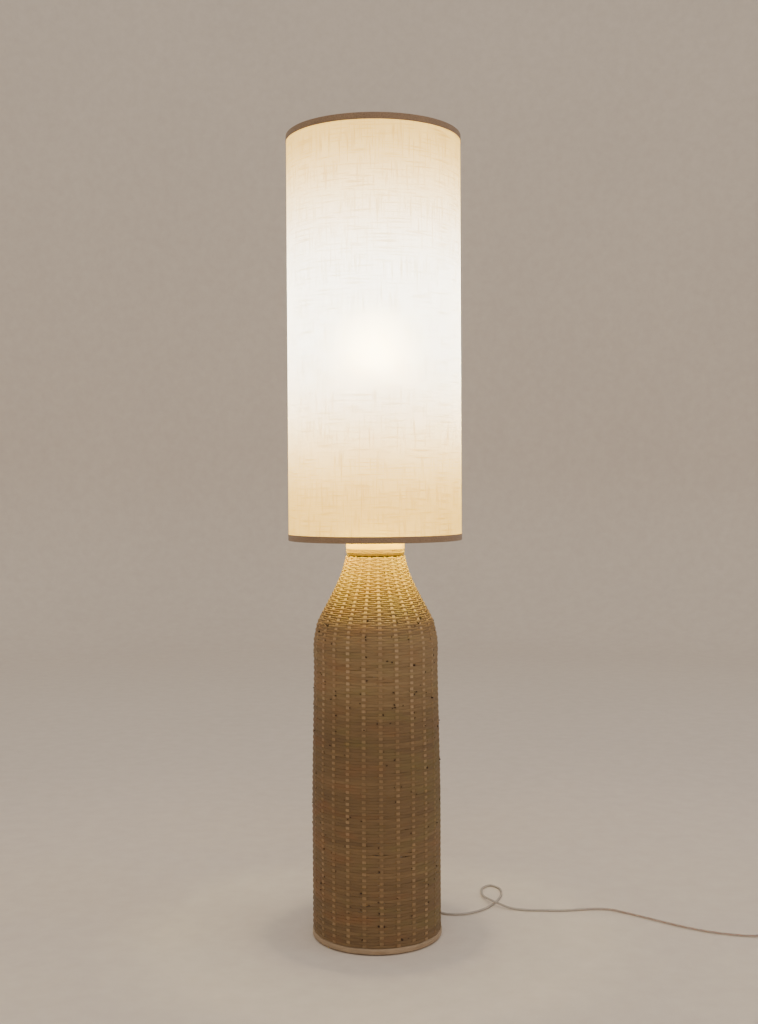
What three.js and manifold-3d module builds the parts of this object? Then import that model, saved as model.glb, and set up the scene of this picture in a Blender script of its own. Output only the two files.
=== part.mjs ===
// Rattan floor lamp: a bottle-shaped woven base on a weighted foot, a tall fabric drum shade,
// and a thin clear cord with an in-line switch. Millimetres, +Z up.
// The origin is on the floor, at the centre of the foot. The front looks towards -Y.

import * as THREE from 'three';
import { mergeVertices } from 'three/addons/utils/BufferGeometryUtils.js';
import Module from 'manifold-3d';

const wasm = await Module();
wasm.setup();

// Driving dimensions

const CLEARANCE = 0.3;
const CUT_OVERRUN = 2;
const SMALL_SIDES = 12;
const ROUND_SIDES = 16;
const PLATE_SIDES = 32;
const BODY_SIDES = 48;
const SHADE_SIDES = 40;

const FOOT = { lift: 1, height: 10, overhang: 0.9, width: 9, round: 2.5 };
const FELT = { thickness: 3, inset: 4.7, holeRadius: 16 };
const BASE_PLATE = { thickness: 8, holeRadius: 16 };
const WEIGHT = { thickness: 30, inset: 2.7, pocketRadius: 22, slotWidth: 12, slotHeight: 20 };
const TUBE_PLATE = { thickness: 3, radius: 45 };
const BASE_SCREW = { circle: 70, length: 24, shank: 2.5, head: 5, countersink: 3, count: 3 };
const PLATE_SCREW = { circle: 34, length: 18, shank: 2.5, head: 5, headHeight: 3, count: 3 };

const TUBE = { radius: 5, bore: 3.8, belowPlate: 7, intoHolder: 12 };
const NUT = { acrossCorners: 16, height: 5 };
const WASHER = { radius: 11, thickness: 1.5 };

const WEAVE = {
  bottomRadius: 111.1, topRadius: 107.2, neckRadius: 50.8, wall: 3,
  shoulderZ: 511, neckZ: 657, stakes: 24, ribDepth: 0.9, stakePhase: 4,
};
const FRAME_WIRE = {
  radius: 2, sides: 4, uprights: 6, hoopSides: 24, uprightSteps: 14, ease: 1,
};
const COLLAR = { radius: 50, thickness: 2, height: 22.5, round: 0.6 };
const BINDING = { height: 4.5, radius: 50.4, round: 1.2 };
const NECK_CAP = { thickness: 4, inset: 0.5, round: 0.8 };

const SLEEVE = { radius: 8, wall: 2, length: 193.7 };
const HOLDER = {
  radius: 19.4, wall: 2, capHeight: 20, shellHeight: 38, flange: 22, flangeHeight: 3,
  threadPlay: 0.3,
};
const CORE = { height: 10, lift: 3 };
const SCREW_SHELL = { radius: 14.3, wall: 0.8, height: 22, floorHole: 5 };
const CONTACT = { radius: 3, height: 2 };
const CLAMP_RING = { width: 6, height: 7, grips: 14, gripDepth: 0.8 };

const BULB = {
  capRadius: 13, capHeight: 24, wall: 1, insulatorHeight: 2.5, insulatorRadius: 9,
  tipRadius: 4, tipHeight: 1.2, globeRadius: 30, globeRise: 54, neckAngle: 35, arcSteps: 6,
};

const SHADE = { radius: 150, height: 691.5, fabric: 0.8, liner: 0.6 };
const TRIM = { height: 11, thickness: 0.5, innerHeight: 8 };
const SHADE_WIRE = { radius: 1.5, sides: 4 };
const SPIDER = { arms: 3, armRadius: 1.4, plateWidth: 5, plateHeight: 2, phase: 90, drop: 230.1 };

const CORD = {
  radius: 2, sides: 8, coilSides: 6, freeSteps: 80, innerSteps: 44, leadSteps: 4,
};
const GROMMET = {
  height: 26, hole: 5.5, flange: 8, flangeThickness: 2, sleeve: 24, sleeveRadius: 5, tipRadius: 3.2,
};
const SWITCH = {
  length: 62, width: 25, baseHeight: 8, coverHeight: 9, corner: 6, bevel: 1.2,
  noseLength: 12, noseRadius: 3.6, noseTip: 2.8, noseHeight: 4.2,
};
const ROCKER = { length: 18, width: 12, depth: 3, rise: 4.5, edge: 3.4, tilt: 7, pivotHeight: 13 };
const SWITCH_PIN = { radius: 1, length: 20 };
const SWITCH_SCREW = { spacing: 44, shank: 1.4, head: 2.8, headHeight: 2, length: 13, sink: 0.8 };
const COIL = {
  turnsPerLayer: 3, climbTurns: 0.5, tieTurns: 0.25, pitch: 4.6, layerRise: 4.6,
  innerRadius: 17.2, stepsPerTurn: 24,
};
const TIE = { thickness: 1, width: 8 };
const PLUG = {
  length: 36, width: 18, height: 14, corner: 4, bevel: 2, noseLength: 14, noseRadius: 4.5,
  noseTip: 3, pinRadius: 2, pinLength: 19, pinSpacing: 9, pinSides: 12, seat: 4,
};

// The cord's way over the floor, chosen by hand: x, y and the height of its middle. It leaves the
// foot at the back, lies in one narrow loop on the right, and runs on to the switch.
const CORD_ROUTE = [
  [0, 146, 26], [1, 155, 22.5], [3, 165, 14], [7, 175, 6], [14, 184, 2.6], [27, 191, 2.1],
  [43, 190, 2.1], [60, 178, 2.1], [75, 158, 2.1], [89, 134, 2.1], [101, 111, 2.1], [114, 93, 2.1],
  [132, 84, 2.1], [155, 85, 2.1], [178, 96, 2.1], [198, 114, 2.1], [215, 140, 2.1],
  [228, 169, 2.1], [235, 200, 2.1], [233, 229, 2.1], [218, 246, 2.1], [203, 232, 2.1],
  [198, 205, 2.1], [200, 177, 3.6], [207, 152, 6.8], [221, 130, 6.8], [243, 113, 3.2],
  [271, 105, 2.1], [306, 102, 2.1], [341, 101, 2.1], [373, 106, 2.1], [402, 109, 2.1],
  [428, 103, 2.1], [450, 86, 2.1], [481, 60, 2.1], [512, 33, 2.1], [543, 8, 2.1],
  [575, -12, 2.1], [607, -25, 2.1], [640, -33.4, 2.4], [656, -35.6, 3.4],
];
const SWITCH_PLACE = { x: 672, y: -36 };
const COIL_PLACE = { x: 792 };
const PLUG_PLACE = { x: 748 };

// Finishes

/** A plain finish with the colour, roughness and metalness of the real surface. */
function finish(color, roughness, metalness = 0) {
  return new THREE.MeshStandardMaterial({ color, roughness, metalness });
}

const FINISH = {
  rattan: finish('#a9814f', 0.7),
  cane: finish('#d9c298', 0.55),
  binding: finish('#6b4a2a', 0.8),
  linen: finish('#efe6d2', 0.9),
  tape: finish('#8a6c4f', 0.85),
  liner: finish('#f4f1e8', 0.5),
  steel: finish('#b9bbbd', 0.35, 1),
  darkSteel: finish('#3c3d40', 0.5, 1),
  brass: finish('#c9a24d', 0.35, 1),
  concrete: finish('#8e8c86', 0.95),
  board: finish('#b08a5c', 0.8),
  felt: finish('#35322f', 1),
  whitePlastic: finish('#ecebe6', 0.45),
  porcelain: finish('#f1eee6', 0.3),
  opalGlass: finish('#fff4dc', 0.4),
  clearCord: finish('#d8d3cc', 0.3),
};

// Shape helpers

const lamp = new THREE.Group();

/** Adds one named piece to a group, the lamp itself unless another is given. */
function add(name, geometry, material, group = lamp) {
  const mesh = new THREE.Mesh(geometry, material);
  mesh.name = name;
  group.add(mesh);
  return mesh;
}

/** Turns a profile of [radius, z] about the Z axis: up the outside, down the inside. */
function turned(profile, sides = ROUND_SIDES) {
  const points = profile.map(([radius, z]) => new THREE.Vector2(radius, z));
  const geometry = new THREE.LatheGeometry(points, sides);
  return geometry.rotateX(Math.PI / 2);
}

/** A plain ring or washer with square edges. */
function washer(inner, outer, low, high, sides = ROUND_SIDES) {
  return turned([[inner, low], [outer, low], [outer, high], [inner, high], [inner, low]], sides);
}

/** A ring whose two outer edges are rounded by a chamfer. */
function roundedRing(inner, outer, low, high, round, sides) {
  return turned([
    [inner, low], [outer - round, low], [outer, low + round], [outer, high - round],
    [outer - round, high], [inner, high], [inner, low],
  ], sides);
}

/** A solid disc or post about the Z axis. */
function disc(radius, low, high, sides = ROUND_SIDES) {
  return turned([[0, low], [radius, low], [radius, high], [0, high]], sides);
}

/** The points of a regular polygon. */
function polygon(radius, sides, turn = 0) {
  return Array.from({ length: sides }, (_, i) => {
    const angle = turn + (i * 2 * Math.PI) / sides;
    return new THREE.Vector2(radius * Math.cos(angle), radius * Math.sin(angle));
  });
}

/** A round tube along a curve, closed at both ends. */
function tubeAlong(curve, radius, sides, steps) {
  const shape = new THREE.Shape(polygon(radius, sides, Math.PI / sides));
  const geometry = new THREE.ExtrudeGeometry(shape, { extrudePath: curve, steps });
  return outward(geometry);
}

/** A hexagon nut round the Z axis. */
function nut(low) {
  const shape = new THREE.Shape(polygon(NUT.acrossCorners / 2, 6));
  shape.holes.push(new THREE.Path(polygon(TUBE.radius + CLEARANCE, ROUND_SIDES)));
  const geometry = new THREE.ExtrudeGeometry(shape, { depth: NUT.height, bevelEnabled: false });
  return geometry.translate(0, 0, low);
}

/** An upright block whose plan has round corners. */
function roundedBlock(length, width, low, high, corner, bevel = 0) {
  const half = { x: length / 2 - bevel, y: width / 2 - bevel };
  const radius = corner - bevel;
  const shape = new THREE.Shape();
  shape.absarc(half.x - radius, half.y - radius, radius, 0, Math.PI / 2);
  shape.absarc(-half.x + radius, half.y - radius, radius, Math.PI / 2, Math.PI);
  shape.absarc(-half.x + radius, -half.y + radius, radius, Math.PI, 1.5 * Math.PI);
  shape.absarc(half.x - radius, -half.y + radius, radius, 1.5 * Math.PI, 2 * Math.PI);
  const geometry = new THREE.ExtrudeGeometry(shape, {
    depth: high - low - 2 * bevel, curveSegments: 3, bevelEnabled: bevel > 0,
    bevelThickness: bevel, bevelSize: bevel, bevelSegments: 1,
  });
  return geometry.translate(0, 0, low + bevel);
}

/** The geometry's bare positions, with shared corners merged and empty triangles left out. */
function bare(geometry) {
  const copy = geometry.clone();
  copy.deleteAttribute('normal');
  copy.deleteAttribute('uv');
  const merged = mergeVertices(copy);
  const corners = [];
  const index = merged.index.array;
  for (let i = 0; i < index.length; i += 3) {
    const [a, b, c] = [index[i], index[i + 1], index[i + 2]];
    if (a !== b && b !== c && c !== a) corners.push(a, b, c);
  }
  merged.setIndex(corners);
  return merged;
}

/** Turns a closed geometry right side out. */
function outward(geometry) {
  const merged = bare(geometry);
  const position = merged.attributes.position;
  const index = merged.index.array;
  const [a, b, c] = [new THREE.Vector3(), new THREE.Vector3(), new THREE.Vector3()];
  let volume = 0;
  for (let i = 0; i < index.length; i += 3) {
    a.fromBufferAttribute(position, index[i]);
    b.fromBufferAttribute(position, index[i + 1]);
    c.fromBufferAttribute(position, index[i + 2]);
    volume += a.dot(b.cross(c));
  }
  if (volume < 0) {
    for (let i = 0; i < index.length; i += 3) {
      [index[i + 1], index[i + 2]] = [index[i + 2], index[i + 1]];
    }
  }
  return merged;
}

/** A closed geometry as a solid that can be joined and cut. */
function solid(geometry) {
  const merged = outward(geometry);
  return new wasm.Manifold(new wasm.Mesh({
    numProp: 3,
    vertProperties: new Float32Array(merged.attributes.position.array),
    triVerts: new Uint32Array(merged.index.array),
  }));
}

/** A solid's surface as a geometry. */
function surface(piece) {
  const mesh = piece.getMesh();
  const geometry = new THREE.BufferGeometry();
  geometry.setAttribute('position', new THREE.BufferAttribute(mesh.vertProperties, 3));
  geometry.setIndex(new THREE.BufferAttribute(mesh.triVerts, 1));
  return geometry;
}

/** The first geometry with the others cut out of it. */
function cut(geometry, ...cutters) {
  return surface(cutters.reduce((rest, cutter) => rest.subtract(solid(cutter)), solid(geometry)));
}

/** All the geometries as one piece. */
function joined(geometry, ...others) {
  return surface(others.reduce((sum, other) => sum.add(solid(other)), solid(geometry)));
}

/** Turns a geometry about the Z axis by an angle in degrees. */
function spun(geometry, degrees) {
  return geometry.rotateZ(THREE.MathUtils.degToRad(degrees));
}

/** The height of a piece's seat above another piece's top. */
function above(top) {
  return top + CLEARANCE;
}

/** Places round the axis, one copy of a piece at each. */
function repeatRound(count, make) {
  for (let i = 0; i < count; i += 1) make(i + 1, (i * 360) / count);
}

// The foot: felt, board, weight and the plate that holds the centre tube

const footTop = FOOT.lift + FOOT.height;
const footRadius = WEAVE.bottomRadius + FOOT.overhang;
const footInner = footRadius - FOOT.width;
const boardRadius = footInner - CLEARANCE;
const felt = { low: 0, high: FELT.thickness };
const board = { low: above(felt.high), high: above(felt.high) + BASE_PLATE.thickness };
const weight = { low: above(board.high), high: above(board.high) + WEIGHT.thickness };
const plate = { low: above(weight.high), high: above(weight.high) + TUBE_PLATE.thickness };

/** A screw along the Z axis with a countersunk head at its low end. */
function countersunkScrew(size, headLow) {
  const cone = headLow + size.countersink;
  return turned([
    [0, headLow], [size.head, headLow], [size.shank, cone],
    [size.shank, headLow + size.length], [0, headLow + size.length],
  ], SMALL_SIDES);
}

/** A screw along the Z axis with a flat round head at its high end. */
function panHeadScrew(size, headLow) {
  return turned([
    [0, headLow - size.length], [size.shank, headLow - size.length], [size.shank, headLow],
    [size.head, headLow], [size.head, headLow + size.headHeight], [0, headLow + size.headHeight],
  ], SMALL_SIDES);
}

/** The hole that a countersunk screw lies in. */
function countersunkHole(size, headLow) {
  const grown = { ...size, head: size.head + CLEARANCE, shank: size.shank + CLEARANCE };
  const cone = headLow + size.countersink;
  return turned([
    [0, headLow - CUT_OVERRUN], [grown.head, headLow - CUT_OVERRUN], [grown.head, headLow],
    [grown.shank, cone + CLEARANCE], [grown.shank, headLow + size.length + CLEARANCE],
    [0, headLow + size.length + CLEARANCE],
  ], SMALL_SIDES);
}

/** Moves a geometry out from the axis and turns it to its place on a circle. */
function onCircle(geometry, radius, degrees) {
  return spun(geometry.translate(radius, 0, 0), degrees);
}

/** All the holes of one ring of screws. */
function holesOnCircle(size, makeHole) {
  return Array.from({ length: size.count }, (_, i) => (
    onCircle(makeHole(), size.circle, (i * 360) / size.count)));
}

function addFoot() {
  add('foot_ring', turned([
    [footInner, FOOT.lift], [footRadius - FOOT.round, FOOT.lift],
    [footRadius, FOOT.lift + FOOT.round], [footRadius, footTop - FOOT.round],
    [footRadius - FOOT.round, footTop], [footInner, footTop], [footInner, FOOT.lift],
  ], BODY_SIDES), FINISH.cane);
  add('felt_pad', washer(FELT.holeRadius, boardRadius - FELT.inset, felt.low, felt.high,
    PLATE_SIDES), FINISH.felt);

  const screwLow = board.low + CLEARANCE;
  const baseHoles = () => holesOnCircle(BASE_SCREW, () => countersunkHole(BASE_SCREW, screwLow));
  add('base_plate', cut(
    washer(BASE_PLATE.holeRadius, boardRadius, board.low, board.high, BODY_SIDES),
    ...baseHoles(),
  ), FINISH.board);

  const plateHole = PLATE_SCREW.shank + CLEARANCE;
  const plateScrewHole = () => turned([
    [0, plate.low - PLATE_SCREW.length], [plateHole, plate.low - PLATE_SCREW.length],
    [plateHole, plate.high + CUT_OVERRUN], [0, plate.high + CUT_OVERRUN],
  ], SMALL_SIDES);
  const weightRadius = boardRadius - WEIGHT.inset;
  const slot = new THREE.BoxGeometry(WEIGHT.slotWidth, weightRadius + CUT_OVERRUN,
    WEIGHT.slotHeight + CUT_OVERRUN);
  slot.translate(0, (weightRadius + CUT_OVERRUN) / 2,
    weight.low + (WEIGHT.slotHeight - CUT_OVERRUN) / 2);
  add('counterweight', cut(
    washer(WEIGHT.pocketRadius, weightRadius, weight.low, weight.high, PLATE_SIDES),
    slot, ...baseHoles(), ...holesOnCircle(PLATE_SCREW, plateScrewHole),
  ), FINISH.concrete);
  add('tube_plate', cut(
    washer(TUBE.radius + CLEARANCE, TUBE_PLATE.radius, plate.low, plate.high),
    ...holesOnCircle(PLATE_SCREW, plateScrewHole),
  ), FINISH.steel);
  repeatRound(BASE_SCREW.count, (number, angle) => {
    const screw = countersunkScrew(BASE_SCREW, screwLow);
    add(`base_screw_${number}`, onCircle(screw, BASE_SCREW.circle, angle), FINISH.steel);
  });
  repeatRound(PLATE_SCREW.count, (number, angle) => {
    const screw = panHeadScrew(PLATE_SCREW, above(plate.high));
    add(`plate_screw_${number}`, onCircle(screw, PLATE_SCREW.circle, angle), FINISH.steel);
  });
}

// The centre tube, which the cord runs up, with its nuts

const neckCap = { low: above(above(WEAVE.neckZ + BINDING.height) + COLLAR.height) };
neckCap.high = neckCap.low + NECK_CAP.thickness;
const neckWasher = { low: above(neckCap.high), high: above(neckCap.high) + WASHER.thickness };
const neckNut = { low: above(neckWasher.high), high: above(neckWasher.high) + NUT.height };
const sleeve = { low: above(neckNut.high), high: above(neckNut.high) + SLEEVE.length };
const holderSeat = above(sleeve.high);

function addTube() {
  const low = plate.low - TUBE.belowPlate;
  const high = holderSeat + TUBE.intoHolder;
  const washerHigh = above(plate.high) + WASHER.thickness;
  add('threaded_tube', washer(TUBE.bore, TUBE.radius, low, high), FINISH.steel);
  add('lower_nut', nut(plate.low - CLEARANCE - NUT.height), FINISH.steel);
  add('upper_washer', washer(TUBE.radius + CLEARANCE, WASHER.radius, above(plate.high), washerHigh),
    FINISH.steel);
  add('upper_nut', nut(above(washerHigh)), FINISH.steel);
  add('neck_washer', washer(TUBE.radius + CLEARANCE, WASHER.radius, neckWasher.low,
    neckWasher.high), FINISH.steel);
  add('neck_nut', nut(neckNut.low), FINISH.steel);
  add('stem_sleeve', washer(SLEEVE.radius - SLEEVE.wall, SLEEVE.radius, sleeve.low, sleeve.high),
    FINISH.brass);
}

// The woven body on its wire frame

// Shares of the height from the foot to the shoulder, and of the way from the top radius out to
// the bottom radius.
const BODY_SHARES = [[0, 1], [0.48, 1], [0.69, 0.51], [0.9, 0], [1, 0]];
// Shares of the height from the shoulder to the neck, and of the way from the neck out to the body.
const SHOULDER_SHARES = [
  [0.115, 0.949], [0.216, 0.887], [0.324, 0.755], [0.432, 0.603], [0.642, 0.321], [0.818, 0.128],
  [1, 0],
];

/** The outside of the weave as [radius, z], from the foot up to the neck. */
function weaveOutline() {
  const low = above(footTop);
  const rise = WEAVE.shoulderZ - low;
  const taper = WEAVE.bottomRadius - WEAVE.topRadius;
  const shoulderRise = WEAVE.neckZ - WEAVE.shoulderZ;
  const shoulderStep = WEAVE.topRadius - WEAVE.neckRadius;
  return [
    ...BODY_SHARES.map(([up, out]) => [WEAVE.topRadius + out * taper, low + up * rise]),
    ...SHOULDER_SHARES.map(([up, out]) => (
      [WEAVE.neckRadius + out * shoulderStep, WEAVE.shoulderZ + up * shoulderRise])),
  ];
}

/** The weave's radius at a height. */
function weaveRadius(z) {
  const outline = weaveOutline();
  const above1 = outline.findIndex((point) => point[1] > z);
  if (above1 < 1) return above1 === 0 ? outline[0][0] : WEAVE.neckRadius;
  const [lower, upper] = [outline[above1 - 1], outline[above1]];
  return THREE.MathUtils.mapLinear(z, lower[1], upper[1], lower[0], upper[0]);
}

/** The factor from a polygon's corners to the middles of its sides. */
function flatShare(sides) {
  return Math.cos(Math.PI / sides);
}

const innerNeckRadius = COLLAR.radius - COLLAR.thickness - CLEARANCE;

function addWeave() {
  const outside = [
    ...weaveOutline(),
    [innerNeckRadius, WEAVE.neckZ + CLEARANCE],
    [innerNeckRadius, neckCap.low - CLEARANCE],
  ];
  const inside = outside.map(([radius, z]) => [radius - WEAVE.wall, z]).reverse();
  const skin = turned([...outside, ...inside, outside[0]], BODY_SIDES);
  const ribbed = weaveOutline().length;
  const rows = outside.length + inside.length + 1;
  const position = skin.attributes.position;
  for (let i = 0; i < position.count; i += 1) {
    const row = i % rows;
    const between = Math.floor(i / rows) % 2 === 1;
    if (between && (row < ribbed || row === rows - 1)) {
      const radius = Math.hypot(position.getX(i), position.getY(i));
      const share = 1 - WEAVE.ribDepth / radius;
      position.setX(i, position.getX(i) * share);
      position.setY(i, position.getY(i) * share);
    }
  }
  spun(skin, WEAVE.stakePhase);
  const hole = new THREE.CylinderGeometry(GROMMET.hole, GROMMET.hole, WEAVE.bottomRadius,
    ROUND_SIDES);
  hole.translate(0, WEAVE.bottomRadius, GROMMET.height);
  add('woven_skin', cut(skin, hole), FINISH.rattan);
}

function addWireFrame() {
  const inset = WEAVE.wall + CLEARANCE + FRAME_WIRE.radius;
  const wireRadius = (z) => (
    (weaveRadius(z) - inset) * flatShare(BODY_SIDES) - FRAME_WIRE.ease);
  const low = above(footTop) + FRAME_WIRE.radius;
  const hoopHeights = [low, WEAVE.shoulderZ, WEAVE.neckZ - inset];
  const high = hoopHeights[2];
  const hoops = hoopHeights.map((z) => {
    const ring = polygon(FRAME_WIRE.radius, FRAME_WIRE.sides)
      .map((point) => [wireRadius(z) + point.x, z + point.y]);
    return turned([...ring, ring[0]], FRAME_WIRE.hoopSides);
  });
  const heights = weaveOutline().map((point) => point[1]).filter((z) => z > low && z < high);
  const way = [low, ...heights, high].map((z) => new THREE.Vector3(wireRadius(z), 0, z));
  const uprights = Array.from({ length: FRAME_WIRE.uprights }, (_, i) => {
    const wire = tubeAlong(new THREE.CatmullRomCurve3(way), FRAME_WIRE.radius, FRAME_WIRE.sides,
      FRAME_WIRE.uprightSteps);
    return spun(wire, (i * 360) / FRAME_WIRE.uprights);
  });
  add('wire_frame', joined(...hoops, ...uprights), FINISH.darkSteel);
}

function addNeck() {
  const binding = { low: above(WEAVE.neckZ), high: above(WEAVE.neckZ) + BINDING.height - CLEARANCE };
  const inner = (innerNeckRadius + CLEARANCE) / flatShare(PLATE_SIDES);
  add('neck_binding', roundedRing(inner, BINDING.radius, binding.low, binding.high, BINDING.round,
    PLATE_SIDES), FINISH.binding);
  const collarLow = above(binding.high);
  add('neck_collar', roundedRing(inner, COLLAR.radius, collarLow, neckCap.low - CLEARANCE,
    COLLAR.round, PLATE_SIDES), FINISH.cane);
  add('neck_cap', roundedRing(TUBE.radius + CLEARANCE, COLLAR.radius - NECK_CAP.inset, neckCap.low,
    neckCap.high, NECK_CAP.round, PLATE_SIDES), FINISH.cane);
}

// The lampholder, its clamp ring and the bulb

const holder = { shellLow: above(holderSeat + HOLDER.capHeight) };
holder.inner = HOLDER.radius - HOLDER.wall;
holder.flangeHigh = holder.shellLow + HOLDER.flangeHeight;
holder.shellHigh = holder.shellLow + HOLDER.shellHeight;
holder.ringBore = HOLDER.radius + CLEARANCE + HOLDER.threadPlay;
const core = { low: holderSeat + TUBE.intoHolder + CORE.lift };
core.high = core.low + CORE.height;
const contactHigh = above(core.high) + CONTACT.height;
const spiderPlate = { low: above(holder.flangeHigh) };
spiderPlate.high = spiderPlate.low + SPIDER.plateHeight;

function addHolder() {
  const low = holderSeat;
  const high = low + HOLDER.capHeight;
  add('holder_cap', turned([
    [TUBE.radius + CLEARANCE, low], [HOLDER.radius - HOLDER.wall, low],
    [HOLDER.radius, low + HOLDER.wall], [HOLDER.radius, high], [holder.inner, high],
    [holder.inner, low + HOLDER.wall], [TUBE.radius + CLEARANCE, low + HOLDER.wall],
    [TUBE.radius + CLEARANCE, low],
  ]), FINISH.whitePlastic);
  add('holder_shell', turned([
    [holder.inner, holder.shellLow], [HOLDER.flange, holder.shellLow],
    [HOLDER.flange, holder.flangeHigh], [HOLDER.radius, holder.flangeHigh],
    [HOLDER.radius, holder.shellHigh], [holder.inner, holder.shellHigh],
    [holder.inner, holder.shellLow],
  ]), FINISH.whitePlastic);
  add('holder_core', disc(holder.inner - CLEARANCE, core.low, core.high), FINISH.porcelain);
  const shellLow = above(core.high);
  const shellInner = SCREW_SHELL.radius - SCREW_SHELL.wall;
  add('screw_shell', turned([
    [SCREW_SHELL.floorHole, shellLow], [SCREW_SHELL.radius, shellLow],
    [SCREW_SHELL.radius, shellLow + SCREW_SHELL.height],
    [shellInner, shellLow + SCREW_SHELL.height], [shellInner, shellLow + SCREW_SHELL.wall],
    [SCREW_SHELL.floorHole, shellLow + SCREW_SHELL.wall], [SCREW_SHELL.floorHole, shellLow],
  ]), FINISH.brass);
  add('centre_contact', disc(CONTACT.radius, above(core.high), contactHigh), FINISH.brass);

  const ringLow = above(spiderPlate.high);
  const ring = washer(holder.ringBore, holder.ringBore + CLAMP_RING.width, ringLow,
    ringLow + CLAMP_RING.height, 2 * CLAMP_RING.grips);
  add('clamp_ring', gripped(ring), FINISH.whitePlastic);
}

/** Draws every second side of the clamp ring in, so that fingers hold it. */
function gripped(ring) {
  const position = ring.attributes.position;
  const middle = holder.ringBore + CLAMP_RING.width / 2;
  const rows = position.count / (2 * CLAMP_RING.grips + 1);
  for (let i = 0; i < position.count; i += 1) {
    const radius = Math.hypot(position.getX(i), position.getY(i));
    if (Math.floor(i / rows) % 2 === 1 && radius > middle) {
      const share = 1 - CLAMP_RING.gripDepth / radius;
      position.setXYZ(i, position.getX(i) * share, position.getY(i) * share, position.getZ(i));
    }
  }
  return ring;
}

// The globe's neck, as shares of its height and of the way from the cap out to the globe.
const GLOBE_NECK_SHARES = [[0, 0], [0.25, 0.06], [0.5, 0.3], [0.75, 0.68]];

function addBulb() {
  const tipHigh = above(contactHigh) + BULB.tipHeight;
  const insulatorHigh = above(tipHigh) + BULB.insulatorHeight;
  const capHigh = above(insulatorHigh) + BULB.capHeight;
  add('bulb_tip', disc(BULB.tipRadius, above(contactHigh), tipHigh), FINISH.brass);
  add('bulb_insulator', disc(BULB.insulatorRadius, above(tipHigh), insulatorHigh),
    FINISH.darkSteel);
  add('bulb_cap', washer(BULB.capRadius - BULB.wall, BULB.capRadius, above(insulatorHigh), capHigh),
    FINISH.steel);

  const neckLow = above(capHigh);
  const middle = neckLow + BULB.globeRise;
  const arcStart = THREE.MathUtils.degToRad(BULB.neckAngle);
  const neckStep = BULB.globeRadius * Math.cos(arcStart) - BULB.capRadius;
  const neckRise = BULB.globeRise - BULB.globeRadius * Math.sin(arcStart);
  const neck = GLOBE_NECK_SHARES.map(([up, out]) => (
    [BULB.capRadius + out * neckStep, neckLow + up * neckRise]));
  const arc = Array.from({ length: BULB.arcSteps + 1 }, (_, i) => {
    const angle = -arcStart + (i * (Math.PI / 2 + arcStart)) / BULB.arcSteps;
    const radius = i === BULB.arcSteps ? 0 : BULB.globeRadius * Math.cos(angle);
    return [radius, middle + BULB.globeRadius * Math.sin(angle)];
  });
  const outside = [...neck, ...arc];
  const inside = outside.map(([radius, z], i) => [
    Math.max(radius - BULB.wall, 0), z - (i === outside.length - 1 ? BULB.wall : 0),
  ]).reverse();
  add('bulb_globe', outward(turned([...outside, ...inside, outside[0]])), FINISH.opalGlass);
}

// The shade: linen on a clear liner, two wire rings, and the spider that hangs it on the holder

const shade = { low: spiderPlate.low - SPIDER.drop };
shade.high = shade.low + SHADE.height;
shade.fabricOuter = SHADE.radius - TRIM.thickness - CLEARANCE;
shade.fabricInner = shade.fabricOuter - SHADE.fabric;
shade.linerOuter = shade.fabricInner - CLEARANCE;
shade.linerInner = shade.linerOuter - SHADE.liner;
shade.wireMiddle = shade.linerInner - CLEARANCE - SHADE_WIRE.radius;
shade.clothLow = above(shade.low + TRIM.thickness);
shade.clothHigh = shade.high - TRIM.thickness - CLEARANCE;
shade.trimInner = shade.wireMiddle - SHADE_WIRE.radius - CLEARANCE - TRIM.thickness;

/** A wire ring round the axis, at a height. */
function wireRing(z) {
  const ring = polygon(SHADE_WIRE.radius, SHADE_WIRE.sides)
    .map((point) => [shade.wireMiddle + point.x, z + point.y]);
  return turned([...ring, ring[0]], SHADE_SIDES);
}

/** The tape folded over one edge of the drum. up is 1 at the lower edge and -1 at the upper. */
function trimTape(edge, up) {
  const fold = edge + up * TRIM.thickness;
  const innerWall = shade.trimInner + TRIM.thickness;
  const outerWall = SHADE.radius - TRIM.thickness;
  return outward(turned([
    [shade.trimInner, edge], [SHADE.radius, edge], [SHADE.radius, edge + up * TRIM.height],
    [outerWall, edge + up * TRIM.height], [outerWall, fold], [innerWall, fold],
    [innerWall, edge + up * TRIM.innerHeight], [shade.trimInner, edge + up * TRIM.innerHeight],
    [shade.trimInner, edge],
  ], SHADE_SIDES));
}

/** One straight arm from the holder's plate out to the lower wire. */
function spiderArm(radius, degrees) {
  const plateMiddle = (spiderPlate.low + spiderPlate.high) / 2;
  const start = new THREE.Vector3(holder.ringBore + SPIDER.plateWidth, 0, plateMiddle);
  const end = new THREE.Vector3(shade.wireMiddle, 0, shade.clothLow + SHADE_WIRE.radius);
  return spun(tubeAlong(new THREE.LineCurve3(start, end), radius, SHADE_WIRE.sides, 1), degrees);
}

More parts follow.
